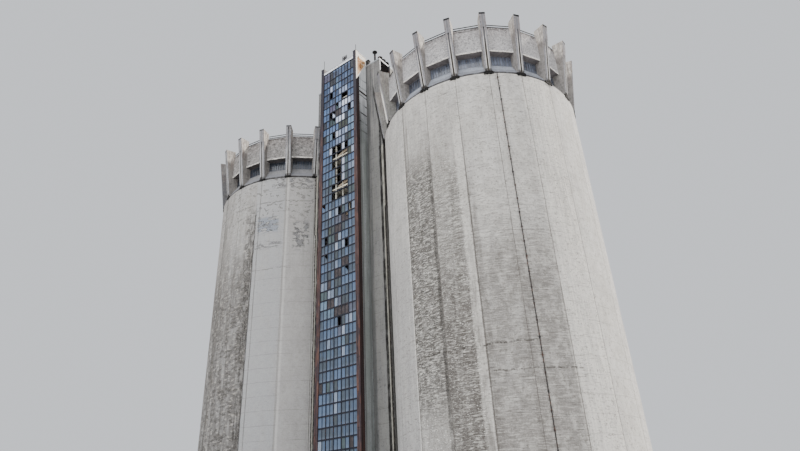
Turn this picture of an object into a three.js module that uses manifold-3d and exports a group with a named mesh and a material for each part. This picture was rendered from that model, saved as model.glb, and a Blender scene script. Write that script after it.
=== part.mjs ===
// A grain elevator: two round concrete silos, each with a crown storey of leaning fins, and between
// them a concrete head house with a tall glazed stair tower on its front. It is a 1:2 scale model.
// Sizes are given in metres of the real building, and M turns them into model millimetres.
// X runs along the front from the left silo to the right one, Y to the back, and Z up from the ground.
import * as THREE from 'three';
import { mergeVertices } from 'three/addons/utils/BufferGeometryUtils.js';
import Module from 'manifold-3d';

const wasm = await Module();
wasm.setup();

const M = 500;
const GAP = 0.3 / M;
// How far a cutting shape runs past what it cuts
const CLEAR = 1;

// Silos
const SILO_X = 12.0;
const SHAFT_R = 9.0;
const SHAFT_WALL = 0.3;
const SHAFT_TOP = 34.4;
const FACETS_PER_QUARTER = 15;
const BIN_FLOOR = 0.4;
const BAYS = 20;
const BAY = (2 * Math.PI) / BAYS;

// Crown storey: radii are to the middle of a flat bay, or to a corner where the name says so
const GALLERY_FLOOR = { r: 8.85, thick: 0.15 };
const CROWN_BOTTOM = SHAFT_TOP + GALLERY_FLOOR.thick;
const SILL = { outer: 8.9, crest: 8.2, inner: 7.95, top: 35.9, lip: 0.2, foot: 8.6 };
const PANEL = { outer: 8.8, inner: 8.55, bottom: 37.0, top: 39.75, lintelTop: 37.3 };
const FIN = {
  half: 0.275, bottom: 34.62, top: 40.5, footR: 9.08, headR: 9.87,
  inner: 8.25, innerTop: 37.2, upperInner: 8.78,
};
const GROOVE = { half: 0.07, depth: 0.12, top: 39.0 };
const ROOF = { bottom: 38.9, top: 39.15 };
const GALLERY_GLASS = { r: 8.13, thick: 0.02 };
// Crown segments meet in the middle of a bay; the angles are from the front, away from the head house
const CROWN_SEGMENTS = [
  { name: 'inner', from: -90, to: 9 },
  { name: 'outer', from: 9, to: 99 },
  { name: 'back', from: 99, to: 270 },
];
const SEGMENT_STEPS = 6;
const RAIL = { corner: 8.7, half: 0.03, lower: 39.98, upper: 40.22, post: 0.035 };
const CONDUCTOR = { facetAngle: 42, along: -0.28, size: 0.08 };

// Head house between the silos
const HEAD = { half: 4.42, front: 5.3, wall: 0.3, opening: 2.2, roofBottom: 45.2, top: 45.5 };
const INFILL = { jointX: 4.0, outerX: 4.45, joint: 0.03, depth: 0.1 };
const SIDE_WALL_LEG = 4.05;
const HEAD_FLOOR = { half: 4.0, thick: 0.2 };

// Glazed stair tower on the front
const TOWER = { glassHalf: 2.1, glassFront: 6.8, glassTop: 45.8, edgeX: 2.52 };
const COLUMN = { front: 6.9, back: 6.4, top: 46.75 };
const RETURN_WALL = { thick: 0.3, top: 46.6 };
const GLAZING = { sheets: 3, thick: 0.02, bottom: 0.1, columns: 10, topRow: 1.16, row: 0.895, bar: 0.05 };
// Panes that are gone: row from the top, first and last column from the left
const MISSING_PANES = [
  [3, 2, 2], [4, 6, 7], [6, 2, 2], [6, 8, 8], [9, 3, 3], [11, 3, 5], [11, 7, 7], [12, 3, 7], [13, 3, 5],
  [14, 4, 5], [15, 4, 5], [16, 3, 7], [17, 3, 7], [19, 5, 5], [19, 8, 8], [22, 1, 1], [23, 7, 7], [31, 5, 5],
];
const STAIR_ROOF = { bottom: 45.82, top: 46.05, front: 6.85, lintel: 45.0 };
const STAIR_RAIL = { z: 46.4, half: 0.03, y: 6.6, posts: 4 };
const LANDING = {
  pitch: 3.58, highest: 41.56, count: 12, thick: 0.15, back: 4.2, front: 6.6, half: 2.0, post: 0.25,
};

// Small things on the roofs
const VENT = {
  stem: 0.08, cap: 0.24, lip: 0.04, skirt: 0.12, dome: 0.14, shoulder: 0.145, crown: 0.04, sides: 10,
};
const VENT_ROW = { x: 4.05, first: -4.7, pitch: 0.55, count: 3, top: 46.2, half: 0.28, kerb: 0.2 };
const TALL_VENT = { x: 3.4, y: -4.75, top: 47.45 };
const ROD = { r: 0.03, left: 1.4, right: 1.0, foot: 0.1, sides: 6 };
const ANTENNA = { x: 0.42, y: -6.3, top: 47.4, r: 0.03, boom: 0.66, bars: 4, bar: 0.5, drop: 0.12 };

// Turns a three.js geometry into a solid with its faces pointing out
function solid(geometry) {
  const plain = geometry.clone();
  plain.deleteAttribute('normal');
  plain.deleteAttribute('uv');
  const merged = mergeVertices(plain, 1e-3);
  const p = merged.attributes.position.array;
  const index = Uint32Array.from(merged.index.array);
  let volume = 0;
  const a = new THREE.Vector3();
  const b = new THREE.Vector3();
  const c = new THREE.Vector3();
  for (let i = 0; i < index.length; i += 3) {
    a.fromArray(p, 3 * index[i]);
    b.fromArray(p, 3 * index[i + 1]);
    c.fromArray(p, 3 * index[i + 2]);
    volume += a.dot(b.cross(c));
  }
  if (volume < 0) {
    for (let i = 0; i < index.length; i += 3) {
      [index[i], index[i + 1]] = [index[i + 1], index[i]];
    }
  }
  const vertProperties = new Float32Array(p);
  return new wasm.Manifold(new wasm.Mesh({ numProp: 3, vertProperties, triVerts: index }));
}

function union(solids) {
  return solids.reduce((whole, piece) => whole.add(piece));
}

function geometryOf(body) {
  const mesh = body.getMesh();
  const geometry = new THREE.BufferGeometry();
  geometry.setAttribute('position', new THREE.BufferAttribute(new Float32Array(mesh.vertProperties), 3));
  geometry.setIndex(new THREE.BufferAttribute(new Uint32Array(mesh.triVerts), 1));
  geometry.computeVertexNormals();
  return geometry;
}

// A box between two corners, in metres
function box(x0, x1, y0, y1, z0, z1) {
  const geometry = new THREE.BoxGeometry((x1 - x0) * M, (y1 - y0) * M, (z1 - z0) * M);
  geometry.translate(((x0 + x1) / 2) * M, ((y0 + y1) / 2) * M, ((z0 + z1) / 2) * M);
  return geometry;
}

// A plan outline in metres raised from z0 to z1
function plate(points, z0, z1) {
  const shape = new THREE.Shape(points.map(([x, y]) => new THREE.Vector2(x * M, y * M)));
  const geometry = new THREE.ExtrudeGeometry(shape, { depth: (z1 - z0) * M, bevelEnabled: false });
  geometry.translate(0, 0, z0 * M);
  return geometry;
}

// An upright outline of (across, height) pairs, given its thickness along Y and centred on y
function uprightPlate(points, y, thick) {
  const shape = new THREE.Shape(points.map(([x, z]) => new THREE.Vector2(x * M, z * M)));
  const geometry = new THREE.ExtrudeGeometry(shape, { depth: thick * M, bevelEnabled: false });
  geometry.rotateX(Math.PI / 2);
  geometry.translate(0, (y + thick / 2) * M, 0);
  return geometry;
}

// A closed (radius, height) outline turned about Z; angles start at the front and run to +X
function turned(points, segments, x = 0, y = 0) {
  const outline = [...points, points[0]].map(([r, z]) => new THREE.Vector2(r * M, z * M));
  const geometry = new THREE.LatheGeometry(outline, segments);
  geometry.rotateX(Math.PI / 2);
  geometry.translate(x * M, y * M, 0);
  return geometry;
}

function post(x, y, z0, z1, r, sides) {
  const geometry = new THREE.CylinderGeometry(r * M, r * M, (z1 - z0) * M, sides);
  geometry.rotateX(Math.PI / 2);
  geometry.translate(x * M, y * M, ((z0 + z1) / 2) * M);
  return geometry;
}

// The point at radius r and angle a from the front, about a silo's axis
function around(x, r, a) {
  return [x + r * Math.sin(a), -r * Math.cos(a)];
}

function arc(x, r, from, to, steps) {
  return Array.from({ length: steps + 1 }, (_, i) => around(x, r, from + ((to - from) * i) / steps));
}

// A round slab with the shaft wall's facets
function disc(x, r, z0, z1) {
  const rim = arc(x, r, Math.PI / 4, Math.PI / 4 + 2 * Math.PI, 4 * FACETS_PER_QUARTER);
  return plate(rim.slice(1), z0, z1);
}

// The radius of a bay's corner where the middle of its flat face is at r
function corner(r) {
  return r / Math.cos(BAY / 2);
}

function shaftSegment(x, quarter) {
  const half = Math.PI / 4 - GAP / 2 / SHAFT_R;
  const middle = (quarter * Math.PI) / 2;
  const outer = arc(x, SHAFT_R, middle - half, middle + half, FACETS_PER_QUARTER);
  const inner = arc(x, SHAFT_R - SHAFT_WALL, middle + half, middle - half, FACETS_PER_QUARTER);
  return plate([...outer, ...inner], 0, SHAFT_TOP);
}

// One fin: an upright plate that leans outward, with a groove down the lower part of its face
function fin(x, angle) {
  const outline = [
    [FIN.inner, FIN.bottom], [FIN.footR, FIN.bottom], [FIN.headR, FIN.top],
    [FIN.upperInner, FIN.top], [FIN.upperInner, FIN.innerTop], [FIN.inner, FIN.innerTop],
  ];
  const lean = (FIN.headR - FIN.footR) / (FIN.top - FIN.bottom);
  const faceAt = (z) => FIN.footR + lean * (z - FIN.bottom);
  const below = FIN.bottom - CLEAR;
  const groove = [
    [faceAt(below) - GROOVE.depth, below], [faceAt(below) + CLEAR, below],
    [faceAt(GROOVE.top) + CLEAR, GROOVE.top], [faceAt(GROOVE.top) - GROOVE.depth, GROOVE.top],
  ];
  const body = solid(uprightPlate(outline, 0, 2 * FIN.half));
  const cut = solid(uprightPlate(groove, 0, 2 * GROOVE.half));
  const turn = THREE.MathUtils.radToDeg(angle) - 90;
  return body.subtract(cut).rotate([0, 0, turn]).translate([x * M, 0, 0]);
}

// The head house takes the bays that face it out of each crown
const headHouseSpace = solid(box(
  -HEAD.half - GAP, HEAD.half + GAP, -HEAD.front - GAP, HEAD.front + GAP, SHAFT_TOP, HEAD.top,
));

function crownRing(x) {
  const sill = [
    [SILL.outer, CROWN_BOTTOM + GAP], [SILL.crest, SILL.top], [SILL.inner, SILL.top],
    [SILL.inner, SILL.top - SILL.lip], [SILL.foot, CROWN_BOTTOM + GAP],
  ];
  const panel = [
    [SILL.inner, PANEL.bottom], [PANEL.outer, PANEL.bottom], [PANEL.outer, PANEL.top],
    [PANEL.inner, PANEL.top], [PANEL.inner, PANEL.lintelTop], [SILL.inner, PANEL.lintelTop],
  ];
  const toCorner = (points) => points.map(([r, z]) => [corner(r), z]);
  const fins = Array.from({ length: BAYS }, (_, i) => fin(x, i * BAY));
  const rings = [toCorner(sill), toCorner(panel)].map((outline) => solid(turned(outline, BAYS, x)));
  return union([...rings, ...fins]).subtract(headHouseSpace);
}

function crownSegment(ring, x, side, { from, to }) {
  const shift = GAP / 2 / SHAFT_R;
  const start = side * (THREE.MathUtils.degToRad(from) + shift);
  const end = side * (THREE.MathUtils.degToRad(to) - shift);
  const outline = [[x, 0], ...arc(x, 2 * SHAFT_R, start, end, SEGMENT_STEPS)];
  return ring.intersect(solid(plate(outline, SHAFT_TOP, FIN.top + CLEAR)));
}

function galleryGlass(x) {
  const outer = corner(GALLERY_GLASS.r);
  const inner = outer - GALLERY_GLASS.thick;
  const z0 = SILL.top + GAP;
  const z1 = PANEL.bottom - GAP;
  const outline = [[inner, z0], [outer, z0], [outer, z1], [inner, z1]];
  return solid(turned(outline, BAYS, x)).subtract(headHouseSpace);
}

function crownRail(x) {
  const bar = (z) => [
    [RAIL.corner - RAIL.half, z - RAIL.half], [RAIL.corner + RAIL.half, z - RAIL.half],
    [RAIL.corner + RAIL.half, z + RAIL.half], [RAIL.corner - RAIL.half, z + RAIL.half],
  ];
  const bars = [RAIL.lower, RAIL.upper].map((z) => solid(turned(bar(z), BAYS, x)));
  const posts = Array.from({ length: BAYS }, (_, i) => {
    const [px, py] = around(x, RAIL.corner, i * BAY);
    return solid(post(px, py, PANEL.top + GAP, RAIL.upper, RAIL.post, 4));
  });
  const whole = union([...bars, ...posts]).subtract(headHouseSpace);
  return whole.decompose().sort((a, b) => b.volume() - a.volume())[0];
}

// The conductor lies flat on one facet of the right shaft
function conductor() {
  const { facetAngle, along, size } = CONDUCTOR;
  const face = SHAFT_R * Math.cos(Math.PI / 4 / FACETS_PER_QUARTER) + GAP;
  const geometry = box(along - size / 2, along + size / 2, -face - size, -face, 0, SHAFT_TOP);
  geometry.rotateZ(THREE.MathUtils.degToRad(facetAngle));
  geometry.translate(SILO_X * M, 0, 0);
  return geometry;
}

// A pier of the front wall, beside the stair tower's opening, grooved where the infill strip starts
function frontPier(side) {
  const x0 = HEAD.opening;
  const outline = [
    [x0, 0], [INFILL.outerX, 0], [INFILL.outerX, SHAFT_TOP], [HEAD.half, SHAFT_TOP],
    [HEAD.half, HEAD.top], [x0, HEAD.top],
  ].map(([x, z]) => [side * x, z]);
  const middle = -(HEAD.front - HEAD.wall / 2);
  const wall = solid(uprightPlate(outline, middle, HEAD.wall));
  return wall.subtract(jointGroove(side, -HEAD.front));
}

function jointGroove(side, face) {
  const x = side * INFILL.jointX;
  return solid(box(
    x - INFILL.joint, x + INFILL.joint, face - INFILL.depth, face + INFILL.depth, -CLEAR, SHAFT_TOP,
  ));
}

function backWall() {
  const outline = [
    [-INFILL.outerX, 0], [INFILL.outerX, 0], [INFILL.outerX, SHAFT_TOP], [HEAD.half, SHAFT_TOP],
    [HEAD.half, HEAD.top], [-HEAD.half, HEAD.top], [-HEAD.half, SHAFT_TOP], [-INFILL.outerX, SHAFT_TOP],
  ];
  const wall = solid(uprightPlate(outline, HEAD.front - HEAD.wall / 2, HEAD.wall));
  return wall.subtract(jointGroove(-1, HEAD.front)).subtract(jointGroove(1, HEAD.front));
}

// A side wall over the silo's roof, with a leg at each end down to the gallery floor
function sideWall(side) {
  const end = HEAD.front - HEAD.wall - GAP;
  const outline = [
    [-end, CROWN_BOTTOM + GAP], [-SIDE_WALL_LEG, CROWN_BOTTOM + GAP], [-SIDE_WALL_LEG, ROOF.top + GAP],
    [SIDE_WALL_LEG, ROOF.top + GAP], [SIDE_WALL_LEG, CROWN_BOTTOM + GAP], [end, CROWN_BOTTOM + GAP],
    [end, HEAD.top], [-end, HEAD.top],
  ];
  const geometry = uprightPlate(outline, 0, HEAD.wall);
  geometry.rotateZ(Math.PI / 2);
  geometry.translate(side * (HEAD.half - HEAD.wall / 2) * M, 0, 0);
  return geometry;
}

function headRoof() {
  const x = HEAD.half - HEAD.wall - GAP;
  const y = HEAD.front - HEAD.wall - GAP;
  return box(-x, x, -y, y, HEAD.roofBottom, HEAD.top);
}

function headFloor() {
  const y = HEAD.front - HEAD.wall - GAP;
  const slab = solid(box(-HEAD_FLOOR.half, HEAD_FLOOR.half, -y, y, 0, HEAD_FLOOR.thick));
  const shaft = (x) => solid(disc(x, SHAFT_R + GAP, -CLEAR, CLEAR));
  return slab.subtract(shaft(-SILO_X)).subtract(shaft(SILO_X));
}

// A column beside the glass, with the lightning rod that it carries
function column(side) {
  const x0 = side * TOWER.glassHalf;
  const x1 = side * TOWER.edgeX;
  const shaft = solid(box(Math.min(x0, x1), Math.max(x0, x1), -COLUMN.front, -COLUMN.back, 0, COLUMN.top));
  const tip = COLUMN.top + (side < 0 ? ROD.left : ROD.right);
  const y = -(COLUMN.front + COLUMN.back) / 2;
  const rod = post((x0 + x1) / 2, y, COLUMN.top - ROD.foot, tip, ROD.r, ROD.sides);
  return shaft.add(solid(rod));
}

function returnWall(side) {
  const x0 = side * (TOWER.edgeX - RETURN_WALL.thick);
  const x1 = side * TOWER.edgeX;
  return box(
    Math.min(x0, x1), Math.max(x0, x1), -COLUMN.back + GAP, -HEAD.front - GAP, 0, RETURN_WALL.top,
  );
}

// The top of a row of panes; the first row is taller than the others
function rowTop(row) {
  return row === 0 ? TOWER.glassTop : TOWER.glassTop - GLAZING.topRow - (row - 1) * GLAZING.row;
}

function missingPane([row, first, last]) {
  const { columns, bar } = GLAZING;
  const x = (column) => (column / columns - 0.5) * 2 * TOWER.glassHalf;
  return solid(box(
    x(first) + bar / 2, x(last + 1) - bar / 2, -TOWER.glassFront - CLEAR, -TOWER.glassFront + CLEAR,
    rowTop(row + 1) + bar / 2, rowTop(row) - bar / 2,
  ));
}

// The glass front is three sheets, one above the other, that meet on a glazing bar
function glazingSheets() {
  const { sheets, thick, bottom, row } = GLAZING;
  const rows = Math.round((TOWER.glassTop - bottom) / row / sheets);
  const edges = Array.from({ length: sheets }, (_, i) => rowTop(i * rows));
  edges.push(bottom);
  const x = TOWER.glassHalf - GAP;
  const holes = union(MISSING_PANES.map(missingPane));
  return Array.from({ length: sheets }, (_, i) => {
    const z0 = edges[i + 1] + GAP / 2;
    const sheet = box(-x, x, -TOWER.glassFront, -TOWER.glassFront + thick, z0, edges[i] - GAP / 2);
    return solid(sheet).subtract(holes);
  });
}

// The stair's roof lies between the columns and the return walls, with a lintel down at its back edge
function stairRoof() {
  const { bottom, top, front, lintel } = STAIR_ROOF;
  const narrow = TOWER.glassHalf - GAP;
  const wide = TOWER.edgeX - RETURN_WALL.thick - GAP;
  const back = HEAD.front - HEAD.wall;
  return union([
    solid(box(-narrow, narrow, -front, -back, bottom, top)),
    solid(box(-wide, wide, -COLUMN.back + GAP, -HEAD.front - GAP, bottom, top)),
    solid(box(-narrow, narrow, -HEAD.front, -back, lintel, top)),
  ]);
}

function stairRail() {
  const { z, half, y, posts } = STAIR_RAIL;
  const end = TOWER.glassHalf - GAP;
  const bar = solid(box(-end, end, -y - half, -y + half, z - half, z + half));
  const stands = Array.from({ length: posts }, (_, i) => {
    const x = ((i + 0.5) / posts - 0.5) * 2 * end;
    return solid(box(x - half, x + half, -y - half, -y + half, STAIR_ROOF.top + GAP, z));
  });
  return union([bar, ...stands]);
}

// The landings behind the glass and the two posts that carry them
function landings() {
  const { pitch, highest, count, thick, back, front, half, post: size } = LANDING;
  const slabs = Array.from({ length: count }, (_, i) => {
    const top = highest - pitch * i;
    return solid(box(-half, half, -front, -back, top - thick, top));
  });
  const posts = [-1, 1].map((side) => {
    const x0 = side > 0 ? half - size : -half;
    return solid(box(x0, x0 + size, -back - size, -back, HEAD_FLOOR.thick + GAP, HEAD.roofBottom - GAP));
  });
  return union([...slabs, ...posts]);
}

// A mushroom vent: a stem under a flared cap with a low dome
function vent(x, y, foot, top) {
  const { stem, cap, lip, skirt, dome, shoulder, crown, sides } = VENT;
  const brim = top - dome;
  const outline = [
    [0, foot], [stem, foot], [stem, brim - skirt], [cap, brim - lip], [cap, brim],
    [shoulder, top - crown], [0, top],
  ];
  return turned(outline, sides, x, y);
}

function ventRow() {
  const { x, first, pitch, count, top, half, kerb } = VENT_ROW;
  const last = first + pitch * (count - 1);
  const foot = HEAD.top + GAP;
  const base = solid(box(x - half, x + half, first - half, last + half, foot, foot + kerb));
  const vents = Array.from({ length: count }, (_, i) => {
    return solid(vent(x, first + i * pitch, foot + kerb / 2, top));
  });
  return union([base, ...vents]);
}

// A small roof antenna: a mast, a level boom and short bars across it
function antenna() {
  const { x, y, top, r, boom, bars, bar, drop } = ANTENNA;
  const mast = solid(box(x - r, x + r, y - r, y + r, STAIR_ROOF.top + GAP, top));
  const z = top - drop;
  const spar = solid(box(x - boom / 2, x + boom / 2, y - r / 2, y + r / 2, z - r / 2, z + r / 2));
  const rungs = Array.from({ length: bars }, (_, i) => {
    const at = x - boom / 2 + ((i + 0.25) * boom) / (bars - 0.5);
    return solid(box(at - r / 2, at + r / 2, y - r / 2, y + r / 2, z - bar / 2, z + bar / 2));
  });
  return union([mast, spar, ...rungs]);
}

function material(color, roughness, metalness) {
  return new THREE.MeshStandardMaterial({ color, roughness, metalness });
}

const CONCRETE = material(0xb6b3ad, 0.9, 0);
const OLD_CONCRETE = material(0xa5a29d, 0.9, 0);
const WALL_CONCRETE = material(0x87898a, 0.9, 0);
const RUSTY_STEEL = material(0x5c4444, 0.7, 0.4);
const PALE_STEEL = material(0xc8d4dc, 0.5, 0.6);
const DARK_STEEL = material(0x33353a, 0.6, 0.6);
const PANES = material(0x6e7d96, 0.15, 0.1);

const elevator = new THREE.Group();

function add(name, shape, look) {
  const geometry = shape.isBufferGeometry ? shape : geometryOf(shape);
  const mesh = new THREE.Mesh(geometry, look);
  mesh.name = name;
  elevator.add(mesh);
}

const SHAFT_SIDES = ['front', 'right', 'back', 'left'];

for (const side of [-1, 1]) {
  const name = side < 0 ? 'left_silo' : 'right_silo';
  const look = side < 0 ? OLD_CONCRETE : CONCRETE;
  const x = side * SILO_X;
  SHAFT_SIDES.forEach((where, quarter) => add(`${name}_wall_${where}`, shaftSegment(x, quarter), look));
  add(`${name}_bin_floor`, disc(x, SHAFT_R - SHAFT_WALL - GAP, 0, BIN_FLOOR), look);
  add(`${name}_gallery_floor`, disc(x, GALLERY_FLOOR.r, SHAFT_TOP + GAP, CROWN_BOTTOM), look);
  const ring = crownRing(x);
  for (const segment of CROWN_SEGMENTS) {
    add(`${name}_crown_${segment.name}`, crownSegment(ring, x, side, segment), look);
  }
  add(`${name}_gallery_glass`, galleryGlass(x), PANES);
  const roofR = corner(PANEL.inner - GAP);
  const roof = [[0, ROOF.bottom], [roofR, ROOF.bottom], [roofR, ROOF.top], [0, ROOF.top]];
  add(`${name}_roof`, turned(roof, BAYS, x), look);
  add(`${name}_rail`, crownRail(x), PALE_STEEL);
}

add('lightning_conductor', conductor(), DARK_STEEL);
for (const side of [-1, 1]) {
  const where = side < 0 ? 'left' : 'right';
  add(`head_front_wall_${where}`, frontPier(side), WALL_CONCRETE);
  add(`head_side_wall_${where}`, sideWall(side), WALL_CONCRETE);
  add(`stair_column_${where}`, column(side), RUSTY_STEEL);
  add(`stair_return_wall_${where}`, returnWall(side), WALL_CONCRETE);
}
add('head_back_wall', backWall(), WALL_CONCRETE);
add('head_roof', headRoof(), WALL_CONCRETE);
add('head_floor', headFloor(), WALL_CONCRETE);
glazingSheets().forEach((sheet, i) => add(`stair_glazing_${['top', 'middle', 'bottom'][i]}`, sheet, PANES));
add('stair_roof', stairRoof(), PALE_STEEL);
add('stair_roof_rail', stairRail(), PALE_STEEL);
add('stair_landings', landings(), WALL_CONCRETE);
add('roof_vents', ventRow(), DARK_STEEL);
add('roof_vent_tall', vent(TALL_VENT.x, TALL_VENT.y, HEAD.top + GAP, TALL_VENT.top), DARK_STEEL);
add('roof_antenna', antenna(), DARK_STEEL);

export default elevator;
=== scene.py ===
"""Looks of the grain elevator, a 1:2 model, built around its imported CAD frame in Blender 4.5.

Lengths in the classes are metres of the real building, and a Sketch turns them into the model's
metres. X runs along the front from the left silo to the right one, Y to the back, and Z up. Angles
round a silo are in degrees, 0 at its front and 90 at the side of larger X. The numbers of a mark
stand in the order of its class's fields, and those of a finish too.
"""

import itertools
import logging
import math
import random
from collections.abc import Sequence
from dataclasses import dataclass, field
from enum import Enum, IntEnum

import bmesh
import bpy
from mathutils import Matrix, Vector, noise

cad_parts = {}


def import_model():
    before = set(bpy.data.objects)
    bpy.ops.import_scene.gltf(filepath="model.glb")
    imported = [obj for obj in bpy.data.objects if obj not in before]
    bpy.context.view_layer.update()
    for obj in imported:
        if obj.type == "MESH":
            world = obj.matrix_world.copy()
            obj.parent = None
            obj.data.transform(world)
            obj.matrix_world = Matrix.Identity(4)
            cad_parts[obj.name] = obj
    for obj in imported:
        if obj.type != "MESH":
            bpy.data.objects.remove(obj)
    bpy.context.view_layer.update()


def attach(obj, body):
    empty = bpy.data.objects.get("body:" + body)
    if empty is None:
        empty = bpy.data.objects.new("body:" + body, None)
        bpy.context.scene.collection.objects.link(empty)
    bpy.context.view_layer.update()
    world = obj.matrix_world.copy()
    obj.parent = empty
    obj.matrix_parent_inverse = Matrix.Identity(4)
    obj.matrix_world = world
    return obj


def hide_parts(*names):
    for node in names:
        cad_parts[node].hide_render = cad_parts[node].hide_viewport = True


MODEL = 0.5  # the model's size over the real building's
WELD = 1e-6  # how far apart two points of a mesh may lie to become one, in the model's metres
NOISE_TOP = 0.64  # what next to none of a noise lies above
NOISE_SPAN = 0.28  # how far under it nearly all of the noise starts
log = logging.getLogger("elevator")

Point = tuple[float, float, float]
Flat = tuple[float, float]
Colour = tuple[int, int, int]
Socket = bpy.types.NodeSocket
Value = float | Socket


class Side(Enum):
    """Which of a mirrored pair a piece belongs to."""

    LEFT = -1
    RIGHT = 1


class Surface(Enum):
    """How a finish measures along a wall: round a silo in degrees, or straight in metres."""

    ROUND_LEFT = "round the left silo"
    ROUND_RIGHT = "round the right silo"
    ALONG_X = "along x"
    ALONG_Y = "along y"


class PaneKind(Enum):
    """What fills one opening of the stair tower's glazing."""

    BLUE = "dusty blue glass"
    WHITE = "whitewashed glass"
    PALE = "pale dusty glass"
    LIGHT_BLUE = "pale blue glass"
    DARK = "clean dark glass"
    GREEN = "dark green glass"
    VIOLET = "violet glass"
    BROWN = "brown board"
    OLIVE = "olive grey board"


Panes = dict[tuple[int, int], PaneKind | None]
Runs = tuple[tuple[int, int, int], ...]


def linear(colour: Colour) -> tuple[float, float, float, float]:
    """Turns a colour of 0 to 255 as a screen shows it into the linear one that a shader takes.

    Args:
        colour: red, green and blue as a screen shows them.

    Returns:
        The linear colour with full alpha.
    """
    def channel(value: float) -> float:
        """Returns one linear channel."""
        share = value / 255
        return share / 12.92 if share <= 0.04045 else ((share + 0.055) / 1.055) ** 2.4

    return (*(channel(value) for value in colour), 1.0)


def shade(colour: Colour, share: float) -> Colour:
    """Returns the colour made darker by a share below 1, or lighter by one above it."""
    return tuple(min(255, round(value * share)) for value in colour)


def level_for(share: float) -> float:
    """Returns the value of a noise that about that share of a surface lies above."""
    return NOISE_TOP - NOISE_SPAN * share


class Board:
    """A node material under construction, with short calls for what the finishes share."""

    def __init__(self, name: str, surface: Surface, colour: Colour) -> None:
        """Starts a material.

        Args:
            name: the material's name.
            surface: how the finish measures along the wall.
            colour: the colour under every mark.
        """
        self.material = bpy.data.materials.new(name)
        self.material.use_nodes = True
        self.tree = self.material.node_tree
        self.shader = self.tree.nodes["Principled BSDF"]
        coordinates = self.tree.nodes.new("ShaderNodeTexCoord")
        self.place = self.vector("MULTIPLY", coordinates.outputs["Object"], (1 / MODEL,) * 3)
        split = self.tree.nodes.new("ShaderNodeSeparateXYZ")
        self.feed(split.inputs[0], self.place)
        self.x, self.y, self.z = split.outputs
        self.up = self.z
        self.along = self.measure(surface)
        self.colour: Socket | None = None
        self.base = linear(colour)
        self.relief: Socket | None = None

    def measure(self, surface: Surface) -> Socket:
        """Measures along the surface.

        Args:
            surface: how the finish measures along the wall.

        Returns:
            The angle round a silo's axis in degrees, or the place along X or Y in metres.
        """
        if surface is Surface.ALONG_X:
            return self.x
        if surface is Surface.ALONG_Y:
            return self.y
        axis = -Silo.axis_x if surface is Surface.ROUND_LEFT else Silo.axis_x
        aside, ahead = self.math("SUBTRACT", self.x, axis), self.times(self.y, -1.0)
        return self.math("DEGREES", self.math("ARCTAN2", aside, ahead))

    def feed(self, socket: Socket, value: Value | Sequence[float]) -> None:
        """Links a socket to an input, or sets the input to a plain value.

        Args:
            socket: the input.
            value: another node's output, a number, or a row of numbers.
        """
        if isinstance(value, bpy.types.NodeSocket):
            self.tree.links.new(value, socket)
        else:
            socket.default_value = value

    def node(self, kind: str, operation: str, values: Sequence[Value | Sequence[float]]) -> Socket:
        """Adds one node that works something out.

        Args:
            kind: Blender's name for the node.
            operation: Blender's name for what it works out.
            values: what goes into its inputs, in order.

        Returns:
            The node's result.
        """
        node = self.tree.nodes.new(kind)
        node.operation = operation
        for socket, value in zip(node.inputs, values):
            self.feed(socket, value)
        return node.outputs[0]

    def math(self, operation: str, *values: Value) -> Socket:
        """Returns the result of one math node on sockets or numbers."""
        return self.node("ShaderNodeMath", operation, values)

    def vector(self, operation: str, *values: Socket | Sequence[float]) -> Socket:
        """Returns the result of one vector math node on sockets or rows of numbers."""
        return self.node("ShaderNodeVectorMath", operation, values)

    def times(self, one: Value, other: Value) -> Socket:
        """Returns the product of two values, such as where two masks overlap."""
        return self.math("MULTIPLY", one, other)

    def fade(self, value: Socket, start: float, end: float) -> Socket:
        """Returns 0 where the value is at start, 1 where it is at end, and a smooth step between.

        Args:
            value: what is measured.
            start: where the result is 0.
            end: where the result is 1, above or below start.

        Returns:
            The smooth step.
        """
        node = self.tree.nodes.new("ShaderNodeMapRange")
        node.interpolation_type = "SMOOTHSTEP"
        self.feed(node.inputs["Value"], value)
        low, high = min(start, end), max(start, end)
        node.inputs["From Min"].default_value = low
        node.inputs["From Max"].default_value = high
        node.inputs["To Min"].default_value = 0.0 if start < end else 1.0
        node.inputs["To Max"].default_value = 1.0 if start < end else 0.0
        return node.outputs["Result"]

    def window(self, value: Socket, low: float, high: float, blur: float) -> Socket:
        """Returns 1 between two limits and 0 outside.

        Args:
            value: what is measured.
            low: the lower limit.
            high: the upper limit.
            blur: over how much of the value each edge is spread.

        Returns:
            The mask.
        """
        rise = self.fade(value, low - blur / 2, low + blur / 2)
        fall = self.fade(value, high + blur / 2, high - blur / 2)
        return self.times(rise, fall)

    def noise(
        self, scale: Point, detail: float = 4.0, rough: float = 0.6, shift: float = 0.0,
    ) -> Socket:
        """Returns noise around 0.5.

        Args:
            scale: how many features a metre holds along X, Y and Z.
            detail: octaves of finer noise.
            rough: how strong each finer octave is.
            shift: moves the noise, so that two of one scale differ.

        Returns:
            The noise's value.
        """
        node = self.tree.nodes.new("ShaderNodeTexNoise")
        stretched = self.vector("MULTIPLY", self.place, scale)
        self.feed(node.inputs["Vector"], self.vector("ADD", stretched, (shift,) * 3))
        node.inputs["Scale"].default_value = 1.0
        node.inputs["Detail"].default_value = detail
        node.inputs["Roughness"].default_value = rough
        return node.outputs[0]

    def chance(self, *values: Socket) -> Socket:
        """Draws a random number that stays the same from one whole number to the next.

        Args:
            values: what is measured, up to three values.

        Returns:
            The number, from 0 to 1.
        """
        combine = self.tree.nodes.new("ShaderNodeCombineXYZ")
        for socket, value in zip(combine.inputs, values):
            self.feed(socket, self.math("FLOOR", value))
        node = self.tree.nodes.new("ShaderNodeTexWhiteNoise")
        self.feed(node.inputs["Vector"], combine.outputs[0])
        return node.outputs["Value"]

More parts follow.
